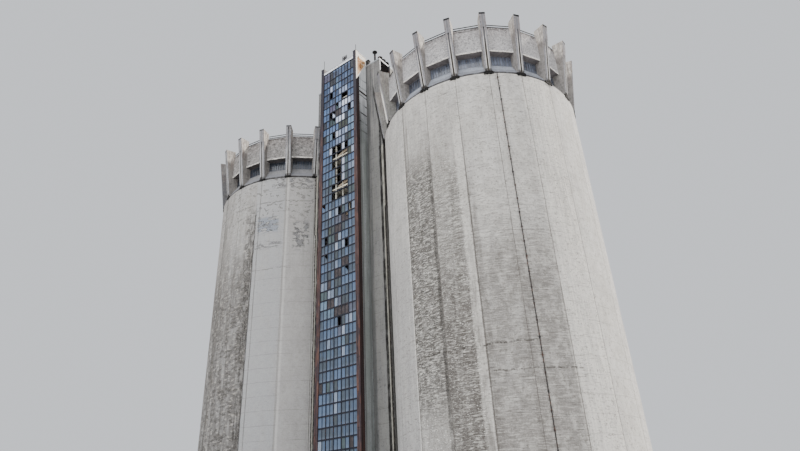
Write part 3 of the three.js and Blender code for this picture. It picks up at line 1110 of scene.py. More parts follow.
LEFT_SHAFT_MARKS: tuple[Mark, ...] = (
    # blotches over the whole shaft, and what has run down from its top
    Mottle((148, 145, 142), 2.2, 3.0, 0.55),
    Mottle((184, 182, 179), 1.0, 1.4, 0.35, shift=5.0),
    Stain(Zone((-120.0, -6.0), (20.0, 36.0), 4.0, 6.0), (120, 115, 110), 0.5, 0.25, 1.2, 0.25, 19.0),
    Mottle((128, 125, 121), 0.35, 0.3, 0.35, 0.4, shift=15.0),
    Stain(Zone(up=(22.0, 36.0), blur_up=10.0), (116, 111, 106), 0.35, 0.22, 9.0, -0.3, 13.0),
    # stains and ripples, bay by bay
    Stain(Zone((15.0, 35.0), (-2.0, 40.0), 0.6, 1.0), (160, 161, 163), 0.8, 0.8, 2.0, 0.6),
    Stain(Zone((35.0, 54.0), (-2.0, 40.0), 0.6, 1.0), (158, 156, 155), 0.5, 0.4, 3.0, 0.4, 9.0),
    Stain(Zone((-120.0, 15.0), (-2.0, 26.0), 0.8, 9.0), (66, 61, 57), 0.7, 0.5, 2.5, 0.4),
    Mottle((48, 43, 39), 0.55, 0.3, 0.62, 0.34, 0.06, -0.018, Zone((-100.0, 14.5), (-2.0, 24.0), 0.8, 8.0)),
    Mottle(
        (204, 198, 189), 0.5, 0.2, 0.4, 0.2, 0.04, 0.012, Zone((-100.0, 15.0), (-2.0, 30.0), 0.8, 6.0), 7.0,
    ),
    Stain(Zone((-18.0, -13.0), (-2.0, 31.0), 1.5, 5.0), (84, 79, 73), 0.6, 0.2, 2.0, 0.1, 3.0),
    Stain(Zone((10.5, 15.4), (-2.0, 30.0), 1.2, 4.0), (42, 38, 35), 0.8, 0.2, 0.8, 0.05, 3.0),
    # places where the skin has come off
    Flakes(
        (132, 138, 148), (44, 43, 47), 0.9, 0.35, 0.62, Zone((17.0, 31.5), (28.2, 29.9), 1.5, 0.4), 0.9,
        shift=2.0,
    ),
    Flakes(
        (120, 120, 122), (36, 33, 32), 0.6, 0.3, 0.36, Zone((27.0, 53.0), (33.2, 34.4), 6.0, 0.5), 0.9,
        shift=3.0,
    ),
    Flakes(
        (116, 116, 118), (36, 33, 32), 0.6, 0.4, 0.4, Zone((41.0, 51.0), (26.2, 29.2), 2.0, 1.0), 0.9,
        shift=6.0,
    ),
    Flakes(
        (130, 131, 133), (58, 55, 53), 0.8, 0.2, 0.3, Zone((16.0, 34.0), (26.4, 27.2), 3.0, 0.4), shift=8.0,
    ),
    Flakes(
        (104, 101, 97), (36, 33, 30), 0.5, 0.5, 0.34, Zone((8.0, 15.0), (16.0, 31.0), 3.0, 5.0), 0.8,
        shift=9.0,
    ),
    Flakes(
        (120, 118, 115), (60, 57, 53), 0.5, 0.3, 0.1, Zone((-60.0, 54.0), (29.5, 34.4), 1.0, 2.0), 0.7,
        shift=11.0,
    ),
    # upright joints
    Joints(FIN_LINES, 0.35, (80, 76, 71), 0.7, relief=-0.015),
    Joints((-36.0, -18.0), 0.8, (66, 62, 57), 0.85, wander=0.8),
    Joints((15.2,), 0.7, (40, 36, 33), 0.9, (-1.0, 31.0), 3.0, 0.9),
    Joints((36.6,), 1.3, (194, 192, 190), 0.55, wander=0.1),
    Joints((35.3,), 0.25, (110, 107, 103), 0.6),
    Joints((53.6,), 0.3, (196, 193, 188), 0.5),
    # level lines, cracks and grain
    Mottle((112, 108, 103), 0.4, 0.05, 0.3, 0.06, 0.03, -0.006, Zone((-60.0, 54.0), (2.0, 34.2)), 23.0),
    Lifts(1.22, 0.035, (104, 101, 97), 0.45),
    Crack(31.6, 0.08, (76, 72, 67), 0.8, (-40.0, 54.0)),
    Crack(24.2, 0.08, (84, 80, 75), 0.6, (-40.0, 40.0)),
    Grain(0.08, (190, 188, 184), (116, 113, 109), 0.35, 0.009),
)


def shaft_finish(side: Side) -> Concrete:
    """Returns the slip-formed concrete of one silo's shaft.

    Args:
        side: which silo.

    Returns:
        The finish, with the stains of that silo.
    """
    if side is Side.RIGHT:
        name, surface, colour = "right_shaft_concrete", Surface.ROUND_RIGHT, (190, 188, 185)
        return Concrete(name, surface, colour, RIGHT_SHAFT_MARKS)
    name, surface, colour = "left_shaft_concrete", Surface.ROUND_LEFT, (166, 165, 164)
    return Concrete(name, surface, colour, LEFT_SHAFT_MARKS)


class FinSide(IntEnum):
    """The sides of a fin, by the number of their finish."""

    FRONT = 0
    GROOVE = 1
    FLANK = 2
    RIB = 3


@dataclass(frozen=True)
class CrownLook:
    """What one silo's crown has of its own.

    Attributes:
        surface: how its finishes measure round the silo.
        panel: the parapet panels' colour.
        pitted: how strongly the panels are pitted.
        soffit: the colour under the parapet, darker than the panels as painted shade.
        sill: the sloping sill's colour.
        front: the fins' colour in front.
        rib: the colour of the ribs beside a fin's groove.
        groove: the colour of the groove, dark as painted shade in the recess.
        shaded: the colour of the painted shade on the fins' flanks.
        cap: where the fins' heads are black.
        cap_amount: how black they are.
        on_ribs: marks on ribs and grooves alone.
        on_faces: marks on the fins' fronts and ribs.
        on_flanks: marks on the fins' flanks.
        long_groove: the angle of the fin whose groove runs up to its head.
        bed_half: half the width of the near-black bed under a fin, which is painted shadow.
        bed_foot: the height of the bed's foot.
        frame: the window frames' colour.
        pane: the strip windows' colour.
    """

    surface: Surface
    panel: Colour
    pitted: float
    soffit: Colour
    sill: Colour
    front: Colour
    rib: Colour
    groove: Colour
    shaded: Colour
    cap: Zone
    cap_amount: float
    on_ribs: tuple[Mark, ...]
    on_faces: tuple[Mark, ...]
    on_flanks: tuple[Mark, ...]
    long_groove: float | None
    bed_half: float
    bed_foot: float
    frame: Colour
    pane: Colour


# painted shade on the fins from -120 to -27 degrees, which turn away from the light
LEFT_SHADOW = Stain(Zone((-120.0, -27.0)), (92, 93, 98), 0.85, 0.3, 1.0, 0.7, 12.0)
RIGHT_SHADOW = Stain(Zone((-120.0, -27.0)), (134, 133, 128), 0.88, 0.3, 1.5, 0.8, 13.0)
WHITE_RIB = Stain(
    Zone((-45.0, -27.0), (33.0, 38.4), 1.0, 2.0), (244, 241, 234), 0.95, 0.2, 1.0, 0.7, 11.0,
)
CROWN_LOOKS: dict[Side, CrownLook] = {
    Side.RIGHT: CrownLook(
        surface=Surface.ROUND_RIGHT,
        panel=(182, 180, 181),
        pitted=0.2,
        soffit=(96, 93, 95),
        sill=(156, 161, 171),
        front=(140, 140, 146),
        rib=(164, 163, 163),
        groove=(80, 74, 69),
        shaded=(132, 129, 127),
        cap=Zone((-62.0, 181.0), (40.32, 42.0), blur_up=0.1),
        cap_amount=0.95,
        on_ribs=(WHITE_RIB,),
        on_faces=(),
        on_flanks=(RIGHT_SHADOW,),
        long_groove=None,
        bed_half=0.4,
        bed_foot=34.37,
        frame=(108, 112, 122),
        pane=(94, 100, 114),
    ),
    Side.LEFT: CrownLook(
        surface=Surface.ROUND_LEFT,
        panel=(145, 142, 140),
        pitted=0.7,
        soffit=(66, 63, 65),
        sill=(132, 132, 134),
        front=(150, 151, 156),
        rib=(168, 168, 169),
        groove=(82, 79, 78),
        shaded=(116, 113, 111),
        cap=Zone(None, (40.36, 42.0), blur_up=0.1),
        cap_amount=0.75,
        on_ribs=(),
        on_faces=(LEFT_SHADOW,),
        on_flanks=(LEFT_SHADOW,),
        long_groove=36.0,
        bed_half=0.31,
        bed_foot=34.46,
        frame=(76, 80, 88),
        pane=(54, 59, 69),
    ),
}


@dataclass
class Silo:
    """One silo: its shaft, and the crown storey of leaning fins, parapet panels and strip windows.

    Radii are distances from the silo's axis. An outline is a row of (radius, height) pairs.
    """

    side: Side
    axis_x: float = 12.0
    radius: float = 9.0
    wall: float = 0.3
    shaft_top: float = 34.4
    bays: int = 20
    # the shaft's shell, with its dents, its ripples and a crease along each fin line
    shell_steps: int = 360
    shell_levels: int = 44
    dent: float = 0.012
    dent_size: Flat = (14.0, 3.0)
    ripple: float = 0.006
    ripple_size: Flat = (3.0, 0.8)
    crease: float = 0.015
    # the parapet, and the least and the most extra that is off its lower and its upper edge
    soffit_radius: float = 7.95
    parapet_inner: float = 8.55
    parapet_outer: float = 8.8
    parapet_top: float = 39.75
    panel_play: float = 0.012
    panel_parts: int = 12
    panel_chip: tuple[float, float] = (0.03, 0.05)
    panel_wear: tuple[float, float] = (0.02, 0.06)
    lintel: float = 0.3
    # the sill
    sill_parts: int = 4
    sill_outline: tuple[Flat, ...] = (
        (8.6, 34.551), (8.9, 34.551), (8.9, 34.64), (8.575, 35.2), (8.545, 35.215),
        (8.2, 35.87), (8.19, 35.9), (7.95, 35.9), (7.95, 35.7),
    )
    # the fins, whose foot and head are given on their front face
    fin_half: float = 0.275
    fin_foot: Flat = (9.08, 34.62)
    fin_head: Flat = (9.87, 40.5)
    fin_inner: tuple[float, float] = (8.25, 8.78)
    fin_ledge: float = 37.2
    fin_step: float = 0.35
    fin_chip: tuple[float, float] = (0.02, 0.07)
    fin_chip_from: float = 0.12
    ragged_foot: float = 0.09
    chamfer: float = 0.01
    groove_half: float = 0.07
    groove_depth: float = 0.12
    groove_top: float = 39.0
    long_groove_top: float = 40.3
    rib: float = 0.15
    rib_height: float = 0.025
    # the beds under the fins
    bed_radii: tuple[float, float] = (8.7, 9.06)
    bed_top: float = 34.66
    bed_parts: int = 12
    bed_play: tuple[float, float, float] = (0.2, 0.12, 0.05)
    bed_drop_from: float = 0.3
    bed_flat: float = 0.3
    bed_slope: float = 0.5
    bed_worn: Flat = (0.05, 0.03)
    # the strip windows, and where their lights start and how far they reach as shares of a bay
    glass_radius: float = 8.13
    strip: tuple[float, float] = (35.9, 37.0)
    frame_gap: float = 0.008
    frame_depth: float = 0.05
    frame_play: float = 0.001
    rail_strips: tuple[float, float] = (0.06, 0.07)
    lights: int = 8
    lights_start: float = 0.1
    lights_reach: float = 0.8
    mullion_inset: float = 0.05
    mullion_halves: tuple[float, float, float] = (0.007, 0.012, 0.02)
    # the railing on the parapet, and the felt at the roof's edge
    rail_radius: float = 8.7
    rail_heights: tuple[float, float] = (39.98, 40.22)
    rail_thickness: float = 0.042
    post_thickness: float = 0.03
    plate_outline: tuple[Flat, ...] = ((0.0, 0.0), (0.08, 0.0), (0.08, 0.02), (0.0, 0.025))
    upstand_outline: tuple[Flat, ...] = (
        (8.54, 39.152), (8.54, 39.5), (8.5, 39.5), (8.46, 39.22), (8.1, 39.17), (8.1, 39.152),
    )
    word: str = field(init=False)
    slot: str = field(init=False)
    x: float = field(init=False)
    turn: float = field(init=False)
    look: CrownLook = field(init=False)

    def __post_init__(self) -> None:
        """Works out the silo's name, place and look from its side."""
        self.word = f"{self.side.name.lower()}_silo"
        self.slot = f"{self.side.name.lower()}_concrete"
        self.x = self.side.value * self.axis_x
        self.turn = 360 / self.bays
        self.look = CROWN_LOOKS[self.side]

    def at(self, degrees: float, radius: float, z: float, aside: float = 0.0) -> Point:
        """Returns a point beside the silo's axis.

        Args:
            degrees: the angle round the silo.
            radius: the distance from the axis.
            z: the height.
            aside: a shift sideways, at a right angle to the radius.

        Returns:
            The point.
        """
        turn = math.radians(degrees)
        return (
            self.x + radius * math.sin(turn) + aside * math.cos(turn),
            -radius * math.cos(turn) + aside * math.sin(turn),
            z,
        )

    def in_bay(self, bay: int, share: float, radius: float, z: float) -> Point:
        """Returns a point of a flat bay.

        Args:
            bay: the bay's number, counted from the front.
            share: how far across the bay, from 0 to 1.
            radius: the distance of the flat face from the axis.
            z: the height.

        Returns:
            The point.
        """
        corner = radius / math.cos(math.radians(self.turn / 2))
        start = Vector(self.at(bay * self.turn, corner, z))
        end = Vector(self.at((bay + 1) * self.turn, corner, z))
        return tuple(start.lerp(end, share))

    def bay_rings(self, bay: int, outline: Sequence[Flat], parts: int) -> list[list[Point]]:
        """Returns the outline repeated across a bay.

        Args:
            bay: the bay's number.
            outline: its section.
            parts: how many parts the bay is split into.

        Returns:
            The rings for a loft.
        """
        shares = [i / parts for i in range(parts + 1)]
        return [[self.in_bay(bay, share, r, z) for r, z in outline] for share in shares]

    def crown_material(self, name: str, colour: Colour, *marks: Mark) -> bpy.types.Material:
        """Makes a finish for one of the crown's parts, with the roughness that they share.

        Args:
            name: what the finish is for.
            colour: the colour under every mark.
            marks: the marks of this part, over the shared blotches and grain.

        Returns:
            The finished material.
        """
        shared = (
            Mottle(shade(colour, 0.8), 0.9, 1.2, 0.45, shift=1.0 + self.side.value),
            Mottle(shade(colour, 1.12), 0.3, 0.25, 0.4, 0.42, 0.07, shift=6.0),
            Mottle(shade(colour, 0.55), 0.14, 0.12, 0.5, 0.18, 0.04, -0.012, shift=17.0),
            Grain(0.07, shade(colour, 1.15), shade(colour, 0.68), 0.45, 0.01),
        )
        name = f"{self.side.name.lower()}_{name}"
        return Concrete(name, self.look.surface, colour, (*shared, *marks)).material()

    def crown_piece(
        self,
        sketch: Sketch,
        *finishes: bpy.types.Material,
        replaces: Sequence[str] = (),
        bevel: float = 0.0,
    ) -> None:
        """Turns a sketch into a piece of the crown, without what would lie in the head house.

        Args:
            sketch: the mesh.
            finishes: the materials, in the order of the faces' numbers.
            replaces: the CAD nodes that the piece stands for.
            bevel: the width of the rounding along sharp edges.
        """
        sketch.piece(finishes, replaces, bevel=bevel, beside_head_house=True)

    def build(self) -> None:
        """Builds and dresses every part of the silo."""
        self.shaft()
        self.parapet()
        self.sill()
        self.fins()
        self.beds()
        self.windows()
        self.rails()
        self.floors()
        self.upstand()

    def shaft(self) -> None:
        """Builds the shaft's wall as one smooth shell, a little uneven where its shutters met."""
        sketch = Sketch(f"{self.word}_shaft")
        inner, half_turn = self.radius - self.wall, self.turn / 2
        (wide, tall), (narrow, low) = self.dent_size, self.ripple_size
        rings = []
        for k in range(self.shell_steps):
            angle = 360 * k / self.shell_steps
            outline = [(inner, self.shaft_top), (inner, 0.0)]
            for i in range(self.shell_levels + 1):
                z = self.shaft_top * i / self.shell_levels
                dent = self.dent * wobble(angle / wide, z / tall, 4.0)
                dent += self.ripple * wobble(angle / narrow, z / low)
                beside_crease = abs((angle + half_turn) % self.turn - half_turn)
                dent -= self.crease * max(0.0, 1 - beside_crease)
                outline.append((self.radius + min(dent, 0.0), z))
            rings.append([self.at(angle, r, z) for r, z in outline])
        sketch.loft(rings, closed=True)
        nodes = [f"{self.word}_wall_{where}" for where in ("front", "right", "back", "left")]
        sketch.piece([shaft_finish(self.side).material()], nodes, smooth=30.0)

    def parapet(self) -> None:
        """Builds the parapet's panels, one a bay, with worn edges and a soffit over the windows."""
        sketch = Sketch(f"{self.word}_parapet")
        low, top = self.strip[1], self.parapet_top
        soffit, inner, lintel = self.soffit_radius, self.parapet_inner, low + self.lintel
        for bay in range(self.bays):
            out = self.parapet_outer - self.panel_play * (1 + wobble(bay * 3.3, self.x))
            rings = []
            for i in range(self.panel_parts + 1):
                chip = worn_off(self.panel_chip, wobble(bay * 5.1 + i * 0.9, self.x, 2.0))
                wear = worn_off(self.panel_wear, wobble(bay * 4.7 + i * 1.3, self.x, 5.0))
                outline = [
                    (soffit, low), (out - chip, low), (out, low + chip), (out, top - wear),
                    (out - wear, top), (inner, top), (inner, lintel), (soffit, lintel),
                ]
                share = i / self.panel_parts
                rings.append([self.in_bay(bay, share, r, z) for r, z in outline])
            under, face = 1, 0
            sketch.loft(rings, [under] + [face] * len(outline))
        panel, soffit = self.look.panel, self.look.soffit
        self.crown_piece(
            sketch,
            self.crown_material(
                "parapet_concrete", panel,
                Stain(Zone(up=(38.7, 40.0), blur_up=1.0), (126, 116, 114), 0.55, 0.12, 1.0, 0.1),
                Stain(Zone(up=(39.45, 40.0), blur_up=0.25), (66, 59, 58), 0.85, 0.2, 0.4, 0.4, 3.0),
                # painted highlight: a bright line along the panels' chamfered lower edge
                Stain(Zone(up=(36.0, 37.14), blur_up=0.06), (244, 241, 235), 0.9, 0.5, 1.0, 0.8, 7.0),
                Mottle(shade(panel, 0.6), 0.2, 0.07, 0.6, 0.16, 0.04, -0.012, shift=12.0),
                Mottle(shade(panel, 1.14), 0.4, 0.2, 0.35, 0.3, 0.06, 0.006, shift=14.0),
                Mottle(shade(panel, 0.5), 0.12, 0.1, 0.7, 0.2, 0.035, -0.015, shift=31.0),
                Mottle(shade(panel, 1.22), 0.1, 0.1, 0.5, 0.2, 0.04, 0.008, shift=33.0),
                Mottle(shade(panel, 0.58), 0.34, 0.26, self.look.pitted, 0.2, 0.035, -0.015, shift=41.0),
                Mottle(shade(panel, 1.2), 0.5, 0.3, self.look.pitted, 0.25, 0.05, 0.008, shift=43.0),
            ),
            # the soffit's dark colour is painted shade under the parapet
            self.crown_material(
                "soffit_painted_shade", soffit, Mottle(shade(soffit, 1.25), 0.5, 0.5, 0.5, 0.4, shift=4.0),
            ),
            replaces=[f"{self.word}_crown_{where}" for where in ("inner", "outer", "back")],
        )

    def sill(self) -> None:
        """Builds the sloping sill under the windows, in two courses with a drip at its foot."""
        sketch = Sketch(f"{self.word}_sill")
        for bay in range(self.bays):
            sketch.loft(self.bay_rings(bay, self.sill_outline, self.sill_parts))
        self.crown_piece(sketch, self.crown_material(
            "sill_concrete", self.look.sill,
            Stain(Zone(up=(34.0, 35.2), blur_up=0.08), (120, 121, 127), 0.75, 0.4, 1.0, 0.5),
            # painted shadow: a dark line along the sill's foot
            Stain(Zone(up=(34.0, 34.68), blur_up=0.06), (62, 59, 58), 0.85, 0.4, 0.6, 0.5, 3.0),
        ))

    def fins(self) -> None:
        """Builds the leaning fins, with chipped corners and ragged feet."""
        sketch = Sketch(f"{self.word}_fins")
        for number in range(self.bays):
            angle = number * self.turn
            self.fin(sketch, angle if angle <= 180 else angle - 360)
        self.crown_piece(sketch, *self.fin_materials(), bevel=0.008)

    def fin(self, sketch: Sketch, angle: float) -> None:
        """Adds one fin to the sketch.

        Args:
            sketch: the mesh that holds the fins.
            angle: where the fin stands round the silo.
        """
        (_, bottom), (_, top), (low, high) = self.fin_foot, self.fin_head, self.fin_inner
        groove_top = self.long_groove_top if angle == self.look.long_groove else self.groove_top
        steps = math.ceil((top - bottom) / self.fin_step)
        heights = sorted({bottom + self.fin_step * i for i in range(steps)} | {groove_top, top})
        levels = [
            (z, low if z < self.fin_ledge else high, 1.0 if z <= groove_top else 0.0)
            for z in heights
        ]
        levels += [(self.fin_ledge, low, 1.0), (self.fin_ledge, high, 1.0), (groove_top, high, 0.0)]
        levels.sort(key=lambda level: (level[0], level[1], -level[2]))
        rings = []
        for z, inner, groove in levels:
            chips = tuple(
                worn_off(self.fin_chip, wobble(angle * 0.7 + edge, z * 1.7, self.x) - self.fin_chip_from)
                for edge in (0.0, 31.0)
            )
            ragged = self.ragged_foot if z == bottom else 0.0
            rings.append([
                self.at(angle, r, z + ragged * abs(wobble(angle + aside * 9, r * 2, 3.0)), aside)
                for aside, r in self.fin_section(z, inner, groove, chips)
            ])
        front, groove, flank, rib = FinSide
        half = [flank, front, front, front, rib, groove]
        sketch.loft(rings, [*half, groove, *reversed(half), flank, front])

    def fin_section(
        self, z: float, inner: float, groove: float, chips: tuple[float, float]
    ) -> list[Flat]:
        """Returns a fin's section at one height.

        Args:
            z: the height.
            inner: the radius of its inner face.
            groove: how much of the groove and the ribs there is, from 0 to 1.
            chips: how much is worn off the left and the right corner.

        Returns:
            (sideways, radius) pairs, counted round the section.
        """
        (foot, bottom), (head, top) = self.fin_foot, self.fin_head
        face = foot + (head - foot) * (z - bottom) / (top - bottom)
        flat, floor = face - self.rib_height * groove, face - self.groove_depth * groove
        half, slot, rib, chamfer = self.fin_half, self.groove_half, self.rib, self.chamfer
        left, right = chips
        return [
            (-half, inner), (-half, flat - left), (-half + left, flat), (-rib - chamfer, flat),
            (-rib, face), (-slot, face), (-slot + chamfer, floor), (slot - chamfer, floor),
            (slot, face), (rib, face), (rib + chamfer, flat), (half - right, flat),
            (half, flat - right), (half, inner),
        ]

    def fin_materials(self) -> list[bpy.types.Material]:
        """Makes the finishes of the fins.

        Returns:
            The materials, in the order of FinSide.
        """
        look = self.look
        head = Stain(Zone(up=(38.9, 42.0), blur_up=0.5), shade(look.front, 0.94), 0.9, 0.15, 2.5, 0.8)
        upper = Stain(
            Zone(up=(37.6, 42.0), blur_up=1.4), shade(look.front, 0.86), 0.9, 0.15, 2.5, 0.6, 4.0,
        )
        pits = Mottle(shade(look.front, 0.6), 0.1, 0.16, 0.6, 0.2, 0.04, -0.012, shift=37.0)
        dull = Mottle(shade(look.shaded, 0.74), 0.3, 0.5, 0.5, 0.36, 0.06, -0.008, shift=3.0)
        chalk = Mottle(shade(look.shaded, 1.25), 0.16, 0.26, 0.45, 0.3, 0.05, 0.006, shift=9.0)
        cap = Stain(look.cap, (8, 7, 7), look.cap_amount, 0.4, 0.5, 1.0, 5.0)
        streaks = Stain(Zone(up=(38.0, 42.0), blur_up=1.0), (112, 98, 90), 0.6, 0.1, 2.5, -0.05, 8.0)
        foot = Stain(Zone(up=(34.0, 36.6), blur_up=1.5), (124, 119, 113), 0.2, 0.1, 2.0, 0.2, 9.0)
        chalky = Stain(Zone(up=(34.9, 38.4), blur_up=1.0), (206, 204, 201), 0.6, 0.1, 1.2, 0.4, 6.0)
        # painted shadow along the fins' feet
        painted_foot_shadow = Stain(Zone(up=(34.0, 34.85), blur_up=0.15), (34, 30, 27), 0.9, 0.3, 0.5, 0.5, 2.0)
        # painted shade on the flanks below the parapet's top
        shaded = Stain(Zone(up=(34.0, 38.8), blur_up=1.0), look.shaded, 0.9, 0.5, 2.0, 0.9, 7.0)
        marks = {
            "fin": (look.front, pits, streaks, foot, *look.on_faces, painted_foot_shadow, cap),
            # the groove's dark colour is painted shade in the recess
            "groove": (look.groove, upper, *look.on_ribs, cap),
            # the flanks' pale base is painted sunlight, with painted shade below the parapet's top and on
            # fins turned away
            "fin_flank": ((210, 204, 196), shaded, *look.on_flanks, dull, chalk, streaks),
            "rib": (
                look.rib, head, chalky, streaks, *look.on_ribs, *look.on_faces, painted_foot_shadow, cap,
            ),
        }
        return [self.crown_material(f"{name}_concrete", *rest) for name, rest in marks.items()]

    def beds(self) -> None:
        """Builds the ragged near-black beds that the fins stand on, as painted shadow."""
        sketch = Sketch(f"{self.word}_fin_beds")
        (inner, outer), (drop, dip, swell) = self.bed_radii, self.bed_play
        back, down = self.bed_worn
        for number in range(self.bays):
            angle = number * self.turn
            rings = []
            for k in range(self.bed_parts + 1):
                aside = self.look.bed_half * (2 * k / self.bed_parts - 1)
                low = self.look.bed_foot
                low -= drop * max(0.0, self.bed_drop_from + wobble(angle + k * 0.7, self.x, 8.0))
                top = self.bed_top - dip * abs(wobble(angle + k * 0.9, self.x, 6.0))
                top -= self.bed_slope * max(0.0, abs(aside) - self.bed_flat)
                out = outer + swell * wobble(angle + k * 0.8, self.x, 1.0)
                outline = [
                    (inner, low), (out, low), (out, top - down), (out - back, top), (inner, top),
                ]
                rings.append([self.at(angle, r, z, aside) for r, z in outline])
            sketch.loft(rings)
        specks = Mottle((52, 46, 42), 0.2, 0.12, 0.4, 0.1)
        # the beds' near-black colour is painted shadow under the fins' feet
        self.crown_piece(sketch, self.crown_material("bed_painted_shadow", (10, 9, 8), specks))

    def windows(self) -> None:
        """Builds the strip windows' frames: rails, and the mullions between their lights."""
        sketch = Sketch(f"{self.word}_window_frames")
        (low, high), (foot, head) = self.strip, self.rail_strips
        play, inset = self.frame_play, self.mullion_inset
        near, far = self.glass_radius + self.frame_gap, self.glass_radius + self.frame_depth
        thin, middle, end = self.mullion_halves
        for bay in range(self.bays):
            for z0, z1 in ((low + play, low + foot), (high - head, high - play)):
                outline = [(near, z0), (far, z0), (far, z1), (near, z1)]
                sketch.loft(self.bay_rings(bay, outline, 1))
            for i in range(self.lights + 1):
                share = self.lights_start + self.lights_reach * i / self.lights
                half = end if i in (0, self.lights) else middle if i == self.lights // 2 else thin
                left, right = share - half, share + half
                ring = [(left, near), (right, near), (right, far), (left, far)]
                sketch.loft([
                    [self.in_bay(bay, s, r, z) for s, r in ring] for z in (low + inset, high - inset)
                ])
        frame = self.look.frame
        finish = PaintedSteel(f"{self.word}_frame_paint", frame, shade(frame, 0.7), 0.15)
        sketch.piece([finish.material()], beside_head_house=True)
        glass = StripGlass(f"{self.word}_strip_glass", self.look.pane)
        dress(f"{self.word}_gallery_glass", glass)

    def rails(self) -> None:
        """Builds the two-bar railing on the parapet, with a post and a plate behind each fin."""
        sketch = Sketch(f"{self.word}_railing")
        radius, foot, head = self.rail_radius, self.parapet_top, self.rail_heights[1]
        corners = [k * 360 / self.bays for k in range(self.bays)]
        for z in self.rail_heights:
            path = [self.at(angle, radius, z) for angle in corners]
            sketch.tube(path, self.rail_thickness, 8, closed=True)
        for angle in corners:
            x, y, _ = self.at(angle, radius, foot)
            sketch.tube([(x, y, foot), (x, y, head)], self.post_thickness, 8)
            sketch.lathe([(r, foot + z) for r, z in self.plate_outline], x, y, 12)
        finish = PaintedSteel(f"{self.word}_rail_paint", (22, 26, 31), (14, 16, 19), 0.15, 0.7, 0.0)
        nodes = [f"{self.word}_rail"]
        sketch.piece([finish.material()], nodes, 40.0, beside_head_house=True)

    def floors(self) -> None:
        """Dresses the floors and the roof."""
        colour = (128, 125, 120)
        floor = Concrete(f"{self.word}_floor_concrete", self.look.surface, colour, (
            Mottle((104, 100, 96), 0.9, 0.9, 0.6),
            # painted shadow: the floors' edge under the sill is near black
            Stain(Zone(up=(34.3, 34.56), blur_up=0.05), (26, 24, 22), 0.9, 0.4, 0.5, 0.8),
            Grain(0.05, (150, 147, 142), (88, 85, 80), 0.4, 0.006),
        ))
        for node in ("bin_floor", "gallery_floor"):
            dress(f"{self.word}_{node}", floor)
        dress(f"{self.word}_roof", RoofFelt(f"{self.word}_roof_felt"))

    def upstand(self) -> None:
        """Lays the strips of felt that turn up from the roof onto the parapet."""
        sketch = Sketch(f"{self.word}_roof_upstand")
        for bay in range(self.bays):
            sketch.loft(self.bay_rings(bay, self.upstand_outline, 1))
        felt = RoofFelt(f"{self.word}_upstand_felt", (80, 80, 79), 0.5)
        self.crown_piece(sketch, felt.material())


def dress(node: str, *finishes: Finish) -> None:
    """Gives a CAD node its finish in place of the plain one that it came with.

    Args:
        node: the CAD node's name.
        finishes: the finishes of its material slots.
    """
    thing = bpy.data.objects[node]
    materials = [finish.material() for finish in finishes]
    if not thing.material_slots:
        for material in materials:
            thing.data.materials.append(material)
    for slot, material in zip(thing.material_slots, materials):
        slot.link = "OBJECT"
        slot.material = material
    log.info("%s: dressed", node)


@dataclass
class Conductor:
    """The lightning conductor that runs down the right silo, clipped to its wall."""

    silo: Silo
    angle: float = 40.2
    stand_off: float = 0.05
    thickness: float = 0.036
    parts: int = 60
    pitch: float = 1.15
    first: float = 0.5
    clip_half: float = 0.05
    clip_reach: tuple[float, float] = (-0.06, 0.04)
    clip_height: float = 0.12
    play: float = 0.008

    def build(self) -> None:
        """Builds the conductor and its clips."""
        sketch = Sketch("lightning_conductor_rod")
        silo, half = self.silo, self.clip_half
        out, height = silo.radius + self.stand_off, silo.shaft_top
        sketch.tube([
            silo.at(self.angle, out + self.play * wobble(i * 0.7), height * i / self.parts)
            for i in range(self.parts + 1)
        ], self.thickness, 8)
        near, far = (out + reach for reach in self.clip_reach)
        ring = [(-half, near), (half, near), (half, far), (-half, far)]
        z = self.first
        while z + self.clip_height <= height:
            sketch.loft([
                [silo.at(self.angle, r, level, aside) for aside, r in ring]
                for level in (z, z + self.clip_height)
            ])
            z += self.pitch
        finish = PaintedSteel("conductor_steel", (36, 33, 33), (22, 21, 22), 0.3)
        sketch.piece([finish.material()], ["lightning_conductor"], 40.0)


def wall_finish(name: str, surface: Surface, colour: Colour, *marks: Mark) -> Concrete:
    """Returns a finish for one of the head house's walls.

    Args:
        name: what the finish is for.
        surface: how it measures along the wall.
        colour: the colour under every mark.
        marks: the marks of this wall, over the shared blotches and grain.

    Returns:
        The finish.
    """
    return Concrete(name, surface, colour, (
        Mottle(shade(colour, 0.75), 1.0, 2.6, 0.5),
        Mottle(shade(colour, 1.15), 0.5, 1.4, 0.45, 0.42, shift=6.0),
        Mottle(shade(colour, 0.5), 0.15, 0.16, 0.55, 0.18, 0.03, -0.01, shift=17.0),
        Grain(0.07, shade(colour, 1.2), shade(colour, 0.6), 0.45, 0.009),
        *marks,
    ))


def rust_patch(along: tuple[float, float]) -> tuple[Mark, ...]:
    """Returns the orange-brown patch, rust and painted sunlight, on a return wall's pale upper part.

    Args:
        along: where it starts and ends along Y.

    Returns:
        The marks, in order.
    """
    patch, rim = (Zone(along, (low, 57.75), 0.08, 0.12, 1.8) for low in (55.3, 57.45))
    return (
        Stain(patch, (226, 180, 122), 0.9, 0.09, 3.0, 0.7, 4.0),
        Stain(patch, (168, 104, 50), 0.9, 0.1, 2.0, 0.1, 12.0),
        Stain(patch, (72, 40, 24), 0.95, 0.06, 2.5, -0.12, 9.0),
        Mottle((250, 236, 212), 0.3, 0.35, 0.85, 0.14, 0.04, 0.004, patch, 19.0),
        Stain(rim, (96, 62, 40), 0.9, 0.1, 2.0, 0.4, 2.0),
    )


# where sunlight is painted: above the key light's shadow line, which rises 1.8 m for each metre towards the
# back
LIT_TOP = Zone(up=(55.05, 70.0), blur_up=0.1, lean=1.8)
LIT_WALL_TOP = Zone(up=(55.25, 70.0), blur_up=0.1, lean=1.8)


